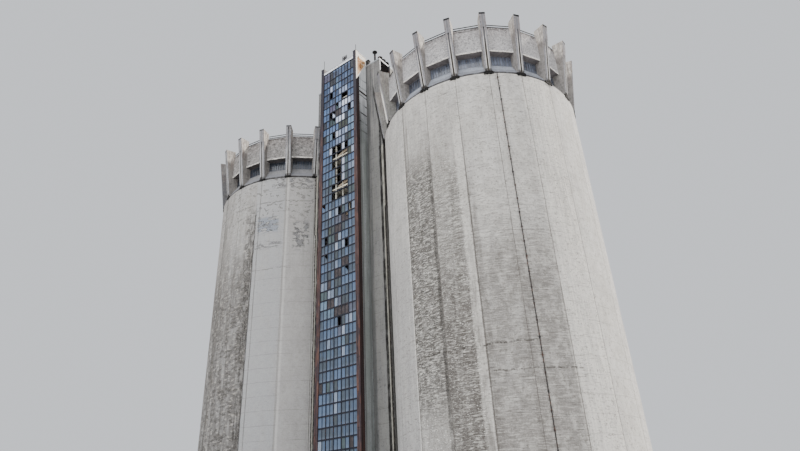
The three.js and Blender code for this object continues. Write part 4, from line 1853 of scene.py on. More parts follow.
@dataclass
class HeadHouse:
    """The concrete head house between the silos, with its roof and what stands on it."""

    half: float = 4.42
    front: float = 5.3
    top: float = 45.5
    cut_gap: float = 0.0006  # how far outside the walls the silos' pieces are cut off
    # the strips of mortar and of tar and painted shadow beside the silos, which get narrower below a step
    mortar_along: tuple[float, float] = (4.25, 4.46)
    mortar_proud: float = 0.03
    tar_and_shadow_along: tuple[float, float] = (4.46, 4.61)
    tar_and_shadow_proud: float = 0.018
    strip_top: float = 34.4
    strip_step: float = 27.6
    strip_shift: float = 0.1
    strip_parts: int = 220
    strip_gap: float = 0.02
    strip_waver: float = 0.03
    strip_uneven: float = 0.01
    strip_seat: float = 0.004
    tar_and_shadow_narrowing: float = 0.12
    tar_and_shadow_ragged: tuple[float, float] = (0.075, 0.04)
    # the roof's flashing, (outward, upward) from the wall's top edge, and the hatch
    flashing_outline: tuple[Flat, ...] = (
        (0.012, -0.16), (0.022, -0.16), (0.022, 0.02), (-0.34, 0.02), (-0.34, 0.004), (0.012, 0.004),
    )
    hatch_low: Flat = (2.54, -5.28)
    hatch_high: Flat = (2.9, -4.96)
    hatch_height: float = 0.66
    hatch_foot: float = 0.022
    hatch_lid: float = 0.08
    lid_overhang: Flat = (0.03, 0.02)
    # the vents: the row on its kerb, and the tall one
    vents_in_row: int = 3
    vent_pitch: float = 0.55
    vents_first: Flat = (4.05, -4.7)
    vents_top: float = 46.3
    vents_cap: float = 0.27
    kerb_half: float = 0.28
    kerb_height: float = 0.2
    kerb_step: float = 0.03
    roof_play: float = 0.001
    collar: tuple[Flat, ...] = ((0.0, 0.0), (0.22, 0.0), (0.22, 0.03), (0.12, 0.14), (0.0, 0.14))
    tall_vent: Flat = (3.4, -4.75)
    tall_top: float = 47.45
    tall_cap: float = 0.18
    # the louvre on the side wall, with its blades as (outward, upward) pairs
    louvre_along: tuple[float, float] = (-5.19, -3.95)
    louvre_up: tuple[float, float] = (43.9, 45.2)
    louvre_play: float = 0.002
    louvre_plate: float = 0.02
    blades: int = 9
    first_blade: float = 0.06
    blade_pitch: float = 0.145
    blade: tuple[Flat, ...] = ((0.02, 0.0), (0.075, -0.05), (0.085, -0.04), (0.03, 0.03))
    # the upright and the drip, by how far they stand out and reach, and the corner strip
    upright_size: Flat = (0.1, 0.06)
    overlap: float = 0.03
    drip_size: Flat = (0.09, 0.3)
    drip_gap: float = 0.17
    corner_out: tuple[float, float] = (0.001, 0.04)
    corner_gaps: tuple[float, float] = (0.01, 0.005)
    # the pipe, by how far it stands out of the wall and past the louvre
    pipe_place: Flat = (0.13, 0.14)
    pipe_ends: tuple[float, float] = (0.1, 0.2)
    pipe_thickness: float = 0.08

    @classmethod
    def cut_out(cls, shape: bmesh.types.BMesh) -> None:
        """Cuts what lies inside the head house's plan out of a mesh.

        Args:
            shape: the mesh, at the model's size.
        """
        for axis, size in enumerate((cls.half, cls.front)):
            for sign in (-1, 1):
                at, way = Vector((0, 0, 0)), Vector((0, 0, 0))
                at[axis], way[axis] = sign * MODEL * (size + cls.cut_gap), 1.0
                everything = [*shape.verts, *shape.edges, *shape.faces]
                bmesh.ops.bisect_plane(
                    shape, geom=everything, plane_co=at, plane_no=way, dist=WELD,
                )
        x, y = MODEL * cls.half, MODEL * cls.front
        middles = {face: face.calc_center_median() for face in shape.faces}
        inside = [face for face, at in middles.items() if abs(at.x) < x and abs(at.y) < y]
        bmesh.ops.delete(shape, geom=inside, context="FACES")

    def build(self) -> None:
        """Builds and dresses every part of the head house."""
        self.walls()
        self.mortar()
        self.roof()
        self.louvre()
        self.vents()

    def walls(self) -> None:
        """Dresses the front, side and back walls, the roof slab and the floor."""
        bands = Stain(Zone(up=(36.5, 47.0), blur_up=5.0), (70, 69, 66), 0.75, 0.18, 11.0, -0.05, 2.0)
        pale = Stain(Zone(up=(35.0, 46.0), blur_up=4.0), (196, 193, 186), 0.35, 0.12, 8.0, -0.15, 5.0)
        warm = Stain(Zone(up=(-2.0, 36.0), blur_up=8.0), (126, 125, 120), 0.6, 0.35, 5.0, 0.35, 8.0)
        # painted shade in the corner beside the stair tower's return wall
        corner = Stain(Zone((2.3, 2.9), (-2.0, 47.0), 0.3, 4.0), (66, 67, 67), 0.75, 0.2, 9.0, 0.35, 3.0)
        # painted shadow along the right silo's fin in front of the wall
        behind = Stain(
            Zone((3.44, 4.5), (62.9, 64.5), 0.1, 0.5, -6.4), (30, 28, 26), 0.9, 0.3, 1.0, 0.6, 5.0,
        )
        edge = Joints((-4.11, 4.11), 0.22, (18, 16, 14), 1.0, (-1.0, 37.6), 1.5, 0.3)
        lifts = Lifts(1.12, 0.04, (84, 82, 77), 0.55, 0.9, relief=-0.006)
        front = wall_finish(
            "head_front_concrete", Surface.ALONG_X, (112, 112, 113),
            bands, pale, warm, corner, lifts, edge, behind,
        )
        back = wall_finish(
            "head_back_concrete", Surface.ALONG_X, (146, 145, 141), bands, pale, warm, lifts, edge,
        )
        side = wall_finish("head_side_concrete", Surface.ALONG_Y, (170, 166, 158), bands, lifts)
        for word in ("left", "right"):
            dress(f"head_front_wall_{word}", front)
            dress(f"head_side_wall_{word}", side)
        dress("head_back_wall", back)
        dress("head_roof", RoofFelt("head_roof_felt"))
        dress("head_floor", wall_finish("head_floor_concrete", Surface.ALONG_X, (120, 118, 114)))

    def mortar(self) -> None:
        """Builds the pale mortar strips and ragged joints of tar and painted shadow beside the silos."""
        sketch = Sketch("infill_mortar")
        for side in (-1, 1):
            for face in (-1, 1):
                self.mortar_strip(sketch, side, face)
                self.tar_and_shadow_strip(sketch, side, face)
        pale = wall_finish(
            "infill_mortar_concrete", Surface.ALONG_X, (130, 128, 120),
            Mottle((164, 161, 152), 0.3, 0.8, 0.6, 0.5, shift=3.0),
        )
        # tar, near black as painted shadow of the gap beside the silo as well
        dark = wall_finish(
            "infill_tar_and_painted_shadow", Surface.ALONG_X, (28, 25, 23),
            Mottle((84, 78, 71), 0.14, 0.3, 0.55, 0.24, 0.05, shift=3.0),
        )
        sketch.piece([pale.material(), dark.material()])

    def strip_levels(self) -> list[tuple[int, float, bool]]:
        """Works out the levels of a strip.

        Returns:
            For each level its number, its height, and whether it lies below the step.
        """
        gap, parts = self.strip_gap, self.strip_parts
        levels = [(i, gap + (self.strip_top - 2 * gap) * i / parts) for i in range(parts + 1)]
        return [(i, z, z <= self.strip_step) for i, z in levels]

    def mortar_strip(self, sketch: Sketch, side: int, face: int) -> None:
        """Adds one upright strip of mortar, narrower low down.

        Args:
            sketch: the mesh that holds it.
            side: -1 for the left silo's side, 1 for the right one's.
            face: -1 for the front wall, 1 for the back wall.
        """
        rings = []
        for i, z, low in self.strip_levels():
            start, end = self.mortar_along
            end -= self.strip_shift if low else 0.0
            start += self.strip_waver * wobble(i * 0.7, side * 3.0, face)
            rings.append(self.strip_ring(side, face, (start, end), self.mortar_proud, i, z))
        sketch.loft(rings, 0)

    def tar_and_shadow_strip(self, sketch: Sketch, side: int, face: int) -> None:
        """Adds one upright strip of tar and painted shadow with a ragged edge, shifted inward low down.

        Args:
            sketch: the mesh that holds it.
            side: -1 for the left silo's side, 1 for the right one's.
            face: -1 for the front wall, 1 for the back wall.
        """
        coarse, fine = self.tar_and_shadow_ragged
        rings = []
        for i, z, low in self.strip_levels():
            start, end = self.tar_and_shadow_along
            start -= self.strip_shift if low else 0.0
            rough = coarse * wobble(i * 0.9, side * 7.0, face * 2.0)
            end += rough + fine * wobble(i * 2.7, side, face)
            end -= self.tar_and_shadow_narrowing if low else 0.0
            start += self.strip_waver * wobble(i * 0.7, side * 3.0, face + 2.0)
            rings.append(self.strip_ring(side, face, (start, end), self.tar_and_shadow_proud, i, z))
        sketch.loft(rings, 1)

    def strip_ring(
        self, side: int, face: int, along: tuple[float, float], proud: float, number: int, z: float
    ) -> list[Point]:
        """Returns the section of a strip at one level.

        Args:
            side: -1 for the left silo's side, 1 for the right one's.
            face: -1 for the front wall, 1 for the back wall.
            along: where it starts and ends along X.
            proud: how far it stands out of the wall.
            number: the level's number.
            z: the level's height.

        Returns:
            The corners of the section.
        """
        start, end = along
        out = face * (self.front + proud + self.strip_uneven * wobble(number * 0.8, 9.0, side))
        back = face * (self.front - self.strip_seat)
        corners = ((start, back), (start, out), (end, out), (end, back))
        return [(side * x, y, z) for x, y in corners]

    def roof(self) -> None:
        """Lays the metal flashing round the roof's edge, and builds the hatch with its lid."""
        sketch = Sketch("head_roof_flashing")
        z = self.top
        sketch.loft([
            [(cx * (self.half + out), cy * (self.front + out), z + up)
             for out, up in self.flashing_outline]
            for cx, cy in ((-1, -1), (1, -1), (1, 1), (-1, 1))
        ], closed=True)
        (x0, y0), (x1, y1) = self.hatch_low, self.hatch_high
        lid, (over, before) = z + self.hatch_height, self.lid_overhang
        sketch.box((x0, y0, z + self.hatch_foot), (x1, y1, lid), look=1)
        sketch.box(
            (x0 - over, y0 - before, lid), (x1 + over, y1 + over, lid + self.hatch_lid), look=1,
        )
        finish = PaintedSteel("head_flashing_zinc", (150, 156, 160), (108, 112, 114), 0.22)
        hatch = PaintedSteel("roof_box_steel", (8, 9, 12), (5, 6, 8), 0.15, 0.8, 0.0)
        sketch.piece([finish.material(), hatch.material()])

    def louvre(self) -> None:
        """Builds the louvre beside the right silo's roof, its pale corner and drip, and a pipe."""
        sketch = Sketch("side_wall_louvre")
        x, (near, far), (low, high) = self.half, self.louvre_along, self.louvre_up
        wall, over, head = x + self.louvre_play, self.overlap, self.top - self.drip_gap
        sketch.box((wall, near, low), (x + self.louvre_plate, far, high))
        for k in range(self.blades):
            z = low + self.first_blade + k * self.blade_pitch
            sketch.loft([[(x + out, y, z + up) for out, up in self.blade] for y in (near, far)])
        out, wide = self.upright_size
        sketch.box((wall, far, low - over), (x + out, far + wide, high + over))
        (out, past), (foot, end) = self.pipe_place, self.pipe_ends
        pipe = (x + out, far + past)
        sketch.tube([(*pipe, low + foot), (*pipe, self.top - end)], self.pipe_thickness)
        out, past = self.drip_size
        sketch.box((wall, near, high + over), (x + out, far + past, head), look=1)
        (back, out), (edge, gap) = self.corner_out, self.corner_gaps
        sketch.box((x + back, -self.front + edge, low), (x + out, near - gap, head), look=1)
        dark = PaintedSteel("louvre_steel", (46, 46, 50), (26, 26, 29), 0.25, 0.8, 0.0)
        pale = PaintedSteel("drip_zinc", (226, 226, 228), (192, 192, 194), 0.1, 0.5, 0.0)
        sketch.piece([dark.material(), pale.material()], smooth=40.0)

    def vents(self) -> None:
        """Builds the mushroom vents: a row on one kerb, and the tall one on a collar."""
        sketch = Sketch("roof_vents_row")
        (x, first), half, foot = self.vents_first, self.kerb_half, self.top + self.roof_play
        places = [first + k * self.vent_pitch for k in range(self.vents_in_row)]
        lid, step = foot + self.kerb_height, self.kerb_step
        inset = half - step
        sketch.box((x - half, first - half, foot), (x + half, places[-1] + half, lid))
        sketch.box((x - inset, first - inset, lid), (x + inset, places[-1] + inset, lid + step))
        for y in places:
            self.vent(sketch, (x, y), lid, self.vents_top, self.vents_cap)
        steel = PaintedSteel("vent_steel", (8, 9, 12), (5, 5, 7), 0.15, 0.85, 0.0).material()
        sketch.piece([steel], ["roof_vents"], 40.0, 0.006)
        tall = Sketch("roof_vent_tall_pipe")
        self.vent(tall, self.tall_vent, foot, self.tall_top, self.tall_cap)
        tall.lathe([(r, foot + z) for r, z in self.collar], *self.tall_vent, 24)
        tall.piece([steel], ["roof_vent_tall"], 40.0)

    @staticmethod
    def vent(sketch: Sketch, place: Flat, foot: float, top: float, cap: float) -> None:
        """Adds one mushroom vent.

        Args:
            sketch: the mesh that holds it.
            place: its place along X and Y.
            foot: the height it stands on.
            top: the height of its cap's top.
            cap: how tall the cap is.
        """
        lip, brim = top - cap, top - 0.45 * cap
        sketch.lathe([
            (0.0, foot), (0.11, foot), (0.11, lip - 0.03), (0.13, lip - 0.02), (0.13, lip),
            (0.24, lip + 0.01), (0.27, lip + 0.03), (0.27, brim), (0.255, brim + 0.02),
            (0.2, top - 0.05), (0.13, top - 0.02), (0.0, top),
        ], *place, 28)


@dataclass
class Glazing:
    """The stair tower's glass front: rows of panes in a grid of bars, with the gone ones left open.

    Rows are counted from the top and columns from the left. A run of panes is its row, its first
    column and its last one.
    """

    half: float = 2.1
    pane: float = 0.42
    top: float = 45.8
    top_row: float = 1.16
    row: float = 0.895
    bottom: float = 0.1
    face: float = 6.8
    columns: int = 10
    # the least height of the last row, and the first row that is hidden in the photograph
    least_row: float = 0.2
    hidden_from: int = 34
    # the gap beside and over a pane, its depths behind the glazing's face, and how askew it is
    margins: tuple[float, float] = (0.008, 0.01)
    depths: tuple[float, float] = (0.018, 0.006)
    play: float = 0.006
    # the bars, as half their width and how far they stand out, and the outline of a broken pane
    rail_play: float = 0.002
    rail_foot: float = 0.03
    rail_half: float = 0.06
    rail_out: float = 0.035
    depth_behind: tuple[float, float] = (0.06, 0.05)
    heavy_bar: tuple[float, float] = (0.048, 0.03)
    light_bar: tuple[float, float] = (0.028, 0.02)
    shard: tuple[Flat, ...] = (
        (0, 0), (1, 0), (1, 0.35), (0.72, 0.5), (0.6, 0.32), (0.42, 0.7), (0.3, 0.6), (0, 0.85),
    )
    missing: Runs = (
        (3, 2, 2), (4, 6, 7), (6, 2, 2), (6, 8, 8), (9, 3, 3), (11, 3, 5), (11, 7, 7), (12, 3, 7),
        (13, 3, 5), (14, 4, 5), (15, 4, 5), (16, 3, 7), (17, 3, 7), (19, 5, 5), (19, 8, 8), (22, 1, 1),
        (23, 7, 7), (31, 5, 5),
    )
    broken: tuple[tuple[int, int], ...] = ((5, 4), (6, 3), (7, 3), (18, 0), (20, 7), (26, 7), (24, 1))
    special: dict[PaneKind, Runs] = field(default_factory=lambda: {
        PaneKind.WHITE: (
            (5, 6, 8), (9, 4, 4), (11, 2, 2), (11, 6, 6), (13, 6, 6), (14, 6, 6), (15, 6, 6), (18, 6, 6),
            (23, 4, 4), (31, 8, 8), (32, 6, 6), (6, 3, 3), (7, 4, 6),
        ),
        PaneKind.PALE: (
            (2, 2, 2), (3, 5, 7), (5, 5, 5), (5, 9, 9), (6, 6, 7), (6, 9, 9), (9, 5, 7), (10, 4, 6),
            (12, 9, 9), (14, 8, 9), (19, 2, 2), (22, 5, 5), (23, 6, 6), (27, 0, 1), (28, 2, 3), (29, 4, 4),
            (31, 7, 7), (33, 2, 2), (19, 4, 4), (25, 4, 4), (19, 9, 9),
        ),
        PaneKind.LIGHT_BLUE: (
            (8, 8, 9), (7, 8, 9), (11, 8, 9), (15, 3, 3), (29, 0, 1), (30, 1, 3), (31, 9, 9), (33, 6, 6),
            (9, 8, 9), (2, 4, 4), (1, 4, 4), (9, 1, 2),
        ),
        PaneKind.DARK: (
            (0, 2, 2), (0, 9, 9), (7, 0, 0), (7, 7, 7), (9, 0, 0), (10, 7, 7), (26, 2, 2), (24, 4, 4),
            (27, 4, 5), (28, 4, 4), (29, 6, 7), (31, 6, 6), (33, 7, 7), (21, 3, 3), (21, 6, 6), (1, 2, 3),
        ),
        PaneKind.GREEN: (
            (7, 2, 3), (13, 7, 7), (14, 7, 7), (15, 7, 7), (15, 2, 2), (19, 6, 6), (22, 2, 3), (28, 0, 1),
            (10, 8, 8), (17, 8, 9), (5, 4, 4),
        ),
        PaneKind.VIOLET: ((5, 2, 3), (20, 4, 5), (30, 8, 9), (29, 5, 5), (32, 5, 5), (0, 0, 1)),
        PaneKind.BROWN: (
            (6, 4, 5), (20, 6, 7), (22, 4, 4), (25, 6, 7), (26, 4, 5), (27, 2, 2), (29, 2, 3), (30, 4, 7),
            (21, 4, 5),
        ),
        PaneKind.OLIVE: ((8, 5, 7), (12, 8, 8), (21, 2, 2)),
    })

    def row_top(self, row: int) -> float:
        """Returns the height of a row's upper edge."""
        return self.top if row == 0 else self.top - self.top_row - (row - 1) * self.row

    def column_x(self, column: float) -> float:
        """Returns where a column's left edge is."""
        return column * self.pane - self.half

    def count_rows(self) -> int:
        """Returns how many rows there are above the bottom, the last one as low as is left."""
        least = self.bottom + self.least_row
        return next(row for row in itertools.count(1) if self.row_top(row) <= least)

    def kinds(self) -> Panes:
        """Works out what fills each opening.

        Returns:
            The kind of pane by row and column, or None where a pane is gone.
        """
        chance = random.Random(31)
        common = [PaneKind.BLUE] * 12 + [
            PaneKind.PALE, PaneKind.DARK, PaneKind.BROWN, PaneKind.LIGHT_BLUE, PaneKind.GREEN,
        ]
        found: Panes = {}
        for row, column in itertools.product(range(self.count_rows()), range(self.columns)):
            mixed = row >= self.hidden_from and column % 2 == 0
            found[row, column] = chance.choice(common) if mixed else PaneKind.BLUE
        for kind, runs in [*self.special.items(), (None, self.missing)]:
            for row, first, last in runs:
                found.update({(row, column): kind for column in range(first, last + 1)})
        return found

    def build(self) -> None:
        """Builds the panes and the bars."""
        kinds = self.kinds()
        self.panes(kinds)
        self.bars(kinds)

    def panes(self, kinds: Panes) -> None:
        """Builds every pane that is left, each a little out of true, in its own kind's finish.

        Args:
            kinds: what fills each opening.
        """
        chance = random.Random(7)
        sketch = Sketch("stair_panes")
        order = list(PaneKind)
        aside, upright = self.margins
        for (row, column), kind in kinds.items():
            if kind is None:
                continue
            x0, x1 = self.column_x(column) + aside, self.column_x(column + 1) - aside
            z0, z1 = max(self.row_top(row + 1), self.bottom) + upright, self.row_top(row) - upright
            lean, turn = (chance.uniform(-self.play, self.play) for _ in range(2))
            whole = ((0, 0), (1, 0), (1, 1), (0, 1))
            outline = self.shard if (row, column) in self.broken else whole
            sketch.loft([
                [(x0 + (x1 - x0) * u,
                  -(self.face - depth + lean * (v - 0.5) + turn * (u - 0.5)),
                  z0 + (z1 - z0) * v) for u, v in outline]
                for depth in self.depths
            ], order.index(kind))
        nodes = [f"stair_glazing_{where}" for where in ("top", "middle", "bottom")]
        sketch.piece([PANE_FINISHES[kind].material() for kind in order], nodes)

    def bars(self, kinds: Panes) -> None:
        """Builds the glazing bars, heavier between the units that hold two panes.

        Args:
            kinds: what fills each opening. No upright bar stands between two missing panes.
        """
        sketch = Sketch("stair_glazing_bars")
        y, rows = -self.face, self.count_rows()
        inner, half = self.half - self.rail_play, self.rail_half
        rail_back, bar_back = (y + depth for depth in self.depth_behind)
        for row in range(rows + 1):
            z = max(self.row_top(row), self.bottom + self.rail_foot)
            sketch.box((-inner, y - self.rail_out, z - half), (inner, rail_back, z + half))
        for column in range(1, self.columns):
            x = self.column_x(column)
            half, out = self.heavy_bar if column % 2 == 0 else self.light_bar
            low = self.bottom
            for row in reversed(range(rows)):
                if kinds[row, column - 1] is None and kinds[row, column] is None:
                    high = self.row_top(row + 1)
                    sketch.box((x - half, y - out, low), (x + half, bar_back, high))
                    low = self.row_top(row)
            sketch.box((x - half, y - out, low), (x + half, bar_back, self.top))
        finish = PaintedSteel("glazing_bar_paint", (8, 15, 34), (6, 9, 20), 0.04, 0.8, 0.0)
        sketch.piece([finish.material()], bevel=0.004)


PANE_FINISHES: dict[PaneKind, Finish] = {
    PaneKind.BLUE: PaneGlass("pane_blue", (40, 62, 96), (80, 110, 154), (18, 32, 56), 0.85, 0.26),
    PaneKind.WHITE: PaneGlass("pane_white", (178, 190, 214), (222, 228, 242), (126, 140, 172), 0.55, 0.4),
    PaneKind.PALE: PaneGlass("pane_pale", (128, 144, 174), (174, 188, 212), (90, 106, 140), 0.65, 0.35),
    PaneKind.LIGHT_BLUE: PaneGlass(
        "pane_light_blue", (82, 110, 140), (114, 144, 174), (54, 80, 106), 0.6, 0.28,
    ),
    PaneKind.DARK: PaneGlass(
        "pane_dark", (24, 28, 38), (42, 50, 66), (12, 14, 20), 0.5, 0.15, (56, 62, 72),
    ),
    PaneKind.GREEN: PaneGlass(
        "pane_green", (32, 50, 54), (56, 82, 86), (16, 28, 30), 0.5, 0.16, (66, 80, 82),
    ),
    PaneKind.VIOLET: PaneGlass("pane_violet", (64, 62, 90), (90, 90, 122), (44, 42, 66), 0.5, 0.22),
    PaneKind.BROWN: PaneBoard("pane_brown_board", (56, 50, 52), (28, 25, 27), (86, 78, 80)),
    PaneKind.OLIVE: PaneBoard("pane_olive_board", (56, 62, 57), (34, 38, 34), (84, 90, 82)),
}


@dataclass
class StairTower:
    """The glazed stair tower: steel-clad columns, return walls, glass front, roof and landings."""

    glazing: Glazing
    # the columns, with their ribbed cladding, seams, caps and rods
    column_inner: float = 2.1
    column_outer: float = 2.52
    column_front: float = 6.9
    column_back: float = 6.4
    column_top: float = 46.75
    column_fold: float = 0.03
    rib_width: float = 0.13
    rib_slope: float = 0.01
    rib_height: float = 0.015
    lap: float = 0.006
    lap_up: tuple[float, float] = (0.05, 0.045)
    cap_height: float = 0.06
    cap_overhang: Flat = (0.015, 0.01)
    first_seam: float = 0.5
    seam_pitch: float = 2.685
    seams: int = 18
    rods: tuple[float, float] = (1.4, 1.0)
    rod_joint: float = 0.25
    rod_thickness: float = 0.03
    rod_foot: tuple[Flat, ...] = ((0.0, 0.0), (0.07, 0.0), (0.03, 0.12), (0.0, 0.13))
    # the return walls' heads and ledges
    wall_top: float = 46.6
    wall_thickness: float = 0.31
    wall_end: float = 5.302
    ledge: float = 41.4
    ledge_half: float = 0.1
    ledge_seat: float = 0.01
    ledge_out: float = 0.035
    flashing_out: float = 0.03
    flashing_end: float = 0.005
    flashing_up: tuple[float, float] = (0.001, 0.04)
    # the roof's drip as (y, height) pairs, its handrail, and the antenna
    roof_top: float = 46.051
    drip_outline: tuple[Flat, ...] = (
        (-6.852, 45.83), (-6.87, 45.81), (-6.872, 46.06), (-6.6, 46.075), (-6.6, 46.052),
        (-6.852, 46.052),
    )
    end_play: float = 0.001
    rail_place: Flat = (-6.6, 46.4)
    rail_thickness: float = 0.036
    rail_posts: int = 4
    post_thickness: float = 0.024
    post_foot: tuple[Flat, ...] = ((0.0, 0.0), (0.06, 0.0), (0.06, 0.019), (0.0, 0.024))
    mast: Flat = (0.42, -6.3)
    mast_top: float = 47.4
    mast_foot: tuple[Flat, ...] = ((0.0, 0.0), (0.1, 0.0), (0.04, 0.099), (0.0, 0.099))
    mast_thickness: float = 0.034
    boom: float = 0.66
    boom_drops: tuple[float, float] = (0.12, 0.32)
    boom_thickness: float = 0.042
    antenna_rods: int = 4
    antenna_pitches: float = 3.5
    antenna_first: float = 0.25
    antenna_half: float = 0.3
    antenna_taper: float = 0.02
    antenna_thickness: float = 0.046
    # the posts behind the glass, each by its column, half its width and its front, and the landings
    posts: tuple[tuple[int, float, float], ...] = (
        (2, 0.025, -6.7), (4, 0.04, -6.745), (6, 0.03, -6.7), (8, 0.025, -6.7),
    )
    posts_aside: float = 0.06
    posts_foot: float = 0.02
    posts_top: float = 37.9
    posts_back: float = -6.605
    top_landing: float = 41.56
    storey: float = 3.58
    storeys: int = 11
    # a landing's edge and a sloping string: each end's lower and upper height, and both along Y
    edge_gap: float = 0.06
    edge_ends: tuple[Flat, ...] = ((-0.17, -0.11), (-0.25, -0.08))
    edge_along: tuple[float, float] = (-6.73, -6.603)
    string_start: float = -0.1
    string_ends: tuple[Flat, ...] = ((-0.05, 0.12), (0.32, 0.78))
    string_along: tuple[float, float] = (-6.69, -6.64)

    def build(self) -> None:
        """Builds and dresses every part of the tower."""
        self.columns()
        self.return_walls()
        self.glazing.build()
        self.roof()
        self.handrail()
        self.antenna()
        self.stair_posts()
        self.stair_edges()

    def columns(self) -> None:
        """Builds the two columns: folded cladding sheets with lapped seams, a cap and a rod."""
        sketch = Sketch("stair_columns")
        for side, rod in zip((-1, 1), self.rods):
            self.cladding(sketch, side)
            self.column_head(sketch, side, rod)
        paint = RustySteel(
            "column_rusty_steel", (58, 46, 50), (34, 37, 50), (112, 76, 62), self.seam_pitch,
        )
        cap_steel = PaintedSteel("column_cap_steel", (20, 20, 26), (12, 12, 16), 0.2)
        # the left column's flanks: the column paint made darker, as painted shade
        flank = RustySteel(
            "column_flank_painted_shade", (38, 32, 35), (26, 27, 38), (84, 58, 48), self.seam_pitch,
        )
        # the right column's outer flank: dark as painted shade, painted sunlight above the shadow line, and
        # the rust patch
        lit_flank = Concrete("column_lit_flank", Surface.ALONG_Y, (40, 32, 36), (
            Stain(Zone(up=(-2.0, 40.0), blur_up=8.0), (74, 48, 40), 0.6, 0.08, 4.0, 0.2, 3.0),
            Mottle((20, 17, 20), 0.2, 2.0, 0.6, 0.5, shift=4.0),
            Stain(LIT_TOP, (252, 246, 236), 0.97, 0.2, 4.0, 0.95, 6.0),
            *rust_patch((-6.66, -6.3)),
            Grain(0.05, (90, 74, 70), (20, 17, 18), 0.3, 0.003),
        ))
        sketch.piece(
            [finish.material() for finish in (paint, cap_steel, flank, lit_flank)],
            ["stair_column_left", "stair_column_right"],
            bevel=0.004,
        )

    def cladding(self, sketch: Sketch, side: int) -> None:
        """Adds one column's cladding.

        Args:
            sketch: the mesh that holds it.
            side: -1 for the left column, 1 for the right one.
        """
        x0, x1, y0, y1 = self.column_inner, self.column_outer, -self.column_front, -self.column_back
        fold, rib, pan = self.column_fold, self.rib_width, y0 + self.rib_height
        slope, (under, over) = self.rib_slope, self.lap_up
        ring = [
            (x0, y1), (x0, y0 + fold), (x0 + fold, y0), (x0 + rib, y0), (x0 + rib + slope, pan),
            (x1 - rib - slope, pan), (x1 - rib, y0), (x1 - fold, y0), (x1, y0 + fold), (x1, y1),
        ]
        seams = [self.first_seam + self.seam_pitch * k for k in range(self.seams)]
        seams = [0.0, *seams, self.column_top - self.cap_height]
        front, flank, middle = 0, 2 if side < 0 else 3, (x0 + x1) / 2
        for low, high in zip(seams, seams[1:]):
            rings = []
            for z, lap in ((low, 0.0), (high - under, 0.0), (high - over, self.lap), (high, self.lap)):
                rings.append([
                    (side * (x + (lap if x > middle else 0.0)), y - (lap if y < y1 else 0.0), z)
                    for x, y in ring
                ])
            sketch.loft(rings, [front] * 8 + [flank] * 2 + [front])

    def column_head(self, sketch: Sketch, side: int, rod: float) -> None:
        """Adds one column's cap and the rod on it.

        Args:
            sketch: the mesh that holds them.
            side: -1 for the left column, 1 for the right one.
            rod: how far the rod stands over the cap.
        """
        x0, x1, y0, y1 = self.column_inner, self.column_outer, -self.column_front, -self.column_back
        top, (over, before) = self.column_top, self.cap_overhang
        cap = ((x0, y0 - before), (x1 + over, y0 - before), (x1 + over, y1), (x0, y1))
        sketch.loft([[(side * x, y, z) for x, y in cap] for z in (top - self.cap_height, top)], 1)
        x, y = side * (x0 + x1) / 2, (y0 + y1) / 2
        heights = (0.0, rod - self.rod_joint, rod)
        sketch.tube([(x, y, top + z) for z in heights], self.rod_thickness, 8, 1)
        sketch.lathe([(r, top + z) for r, z in self.rod_foot], x, y, 12, 1)

    def return_walls(self) -> None:
        """Dresses the return walls and fits the painted-shadow ledge and pale flashing at their heads."""
        wall = wall_finish(
            "return_wall_concrete", Surface.ALONG_Y, (154, 157, 160),
            Stain(Zone(up=(-2.0, 37.0), blur_up=5.0), (118, 124, 120), 0.75, 0.3, 8.0, 0.4, 3.0),
            Stain(Zone((-5.7, -5.0), (-2.0, 36.0), 0.5, 4.0), (84, 88, 86), 0.6, 0.3, 8.0, 0.4, 5.0),
            # painted shade on the wall beside the column
            Stain(Zone((-6.36, -6.2), (-2.0, 41.0), 0.1, 4.0), (64, 64, 64), 0.7, 0.3, 8.0, 0.6, 5.0),
            Stain(Zone(up=(39.5, 47.0), blur_up=4.0), (220, 222, 224), 0.8, 0.3, 3.0, 0.5, 7.0),
            # painted sunlight above the key light's shadow line
            Stain(LIT_WALL_TOP, (250, 240, 226), 0.95, 0.2, 4.0, 0.9, 6.0),
            *rust_patch((-6.9, -5.4)),
            # painted sunlight along the wall's top, over the rust patch
            Stain(Zone(up=(46.0, 48.0), blur_up=0.15), (252, 244, 232), 0.95, 0.2, 4.0, 0.9, 6.0),
            Lifts(1.1, 0.12, (22, 21, 22), 1.0, 0.35, Zone(up=(36.5, 43.6), blur_up=2.5), -0.015),
        )
        sketch = Sketch("return_wall_ledges")
        x, near, far, top = self.column_outer, -self.column_back, -self.wall_end, self.wall_top
        seat, (under, over) = self.ledge_seat, self.flashing_up
        for side, word in ((-1, "left"), (1, "right")):
            dress(f"stair_return_wall_{word}", wall)
            low, high = sorted((side * (x - seat), side * (x + self.ledge_out)))
            z0, z1 = self.ledge - self.ledge_half, self.ledge + self.ledge_half
            sketch.box((low, near + seat, z0), (high, far, z1))
            low, high = sorted((side * (x - self.wall_thickness), side * (x + self.flashing_out)))
            sketch.box((low, near + self.flashing_end, top + under), (high, far, top + over), 1)
        # the ledge's near-black is painted shadow of the joint at the ledge line
        dark = PaintedSteel("ledge_painted_shadow", (10, 9, 10), (6, 6, 7), 0.2, 0.8, 0.0)
        pale = PaintedSteel("wall_cap_zinc", (232, 230, 226), (196, 194, 190), 0.1, 0.5, 0.0)
        sketch.piece([dark.material(), pale.material()], bevel=0.004)

    def roof(self) -> None:
        """Dresses the roof with its pale fascia, and builds the drip along the fascia."""
        pale = PaintedSteel("fascia_paint", (236, 240, 246), (206, 210, 216), 0.1, 0.5, 0.0)
        dress("stair_roof", pale)
        sketch = Sketch("stair_roof_drip")
        inner = self.column_inner - self.end_play
        sketch.loft([[(x, y, z) for y, z in self.drip_outline] for x in (-inner, inner)])
        sketch.piece([pale.material()])

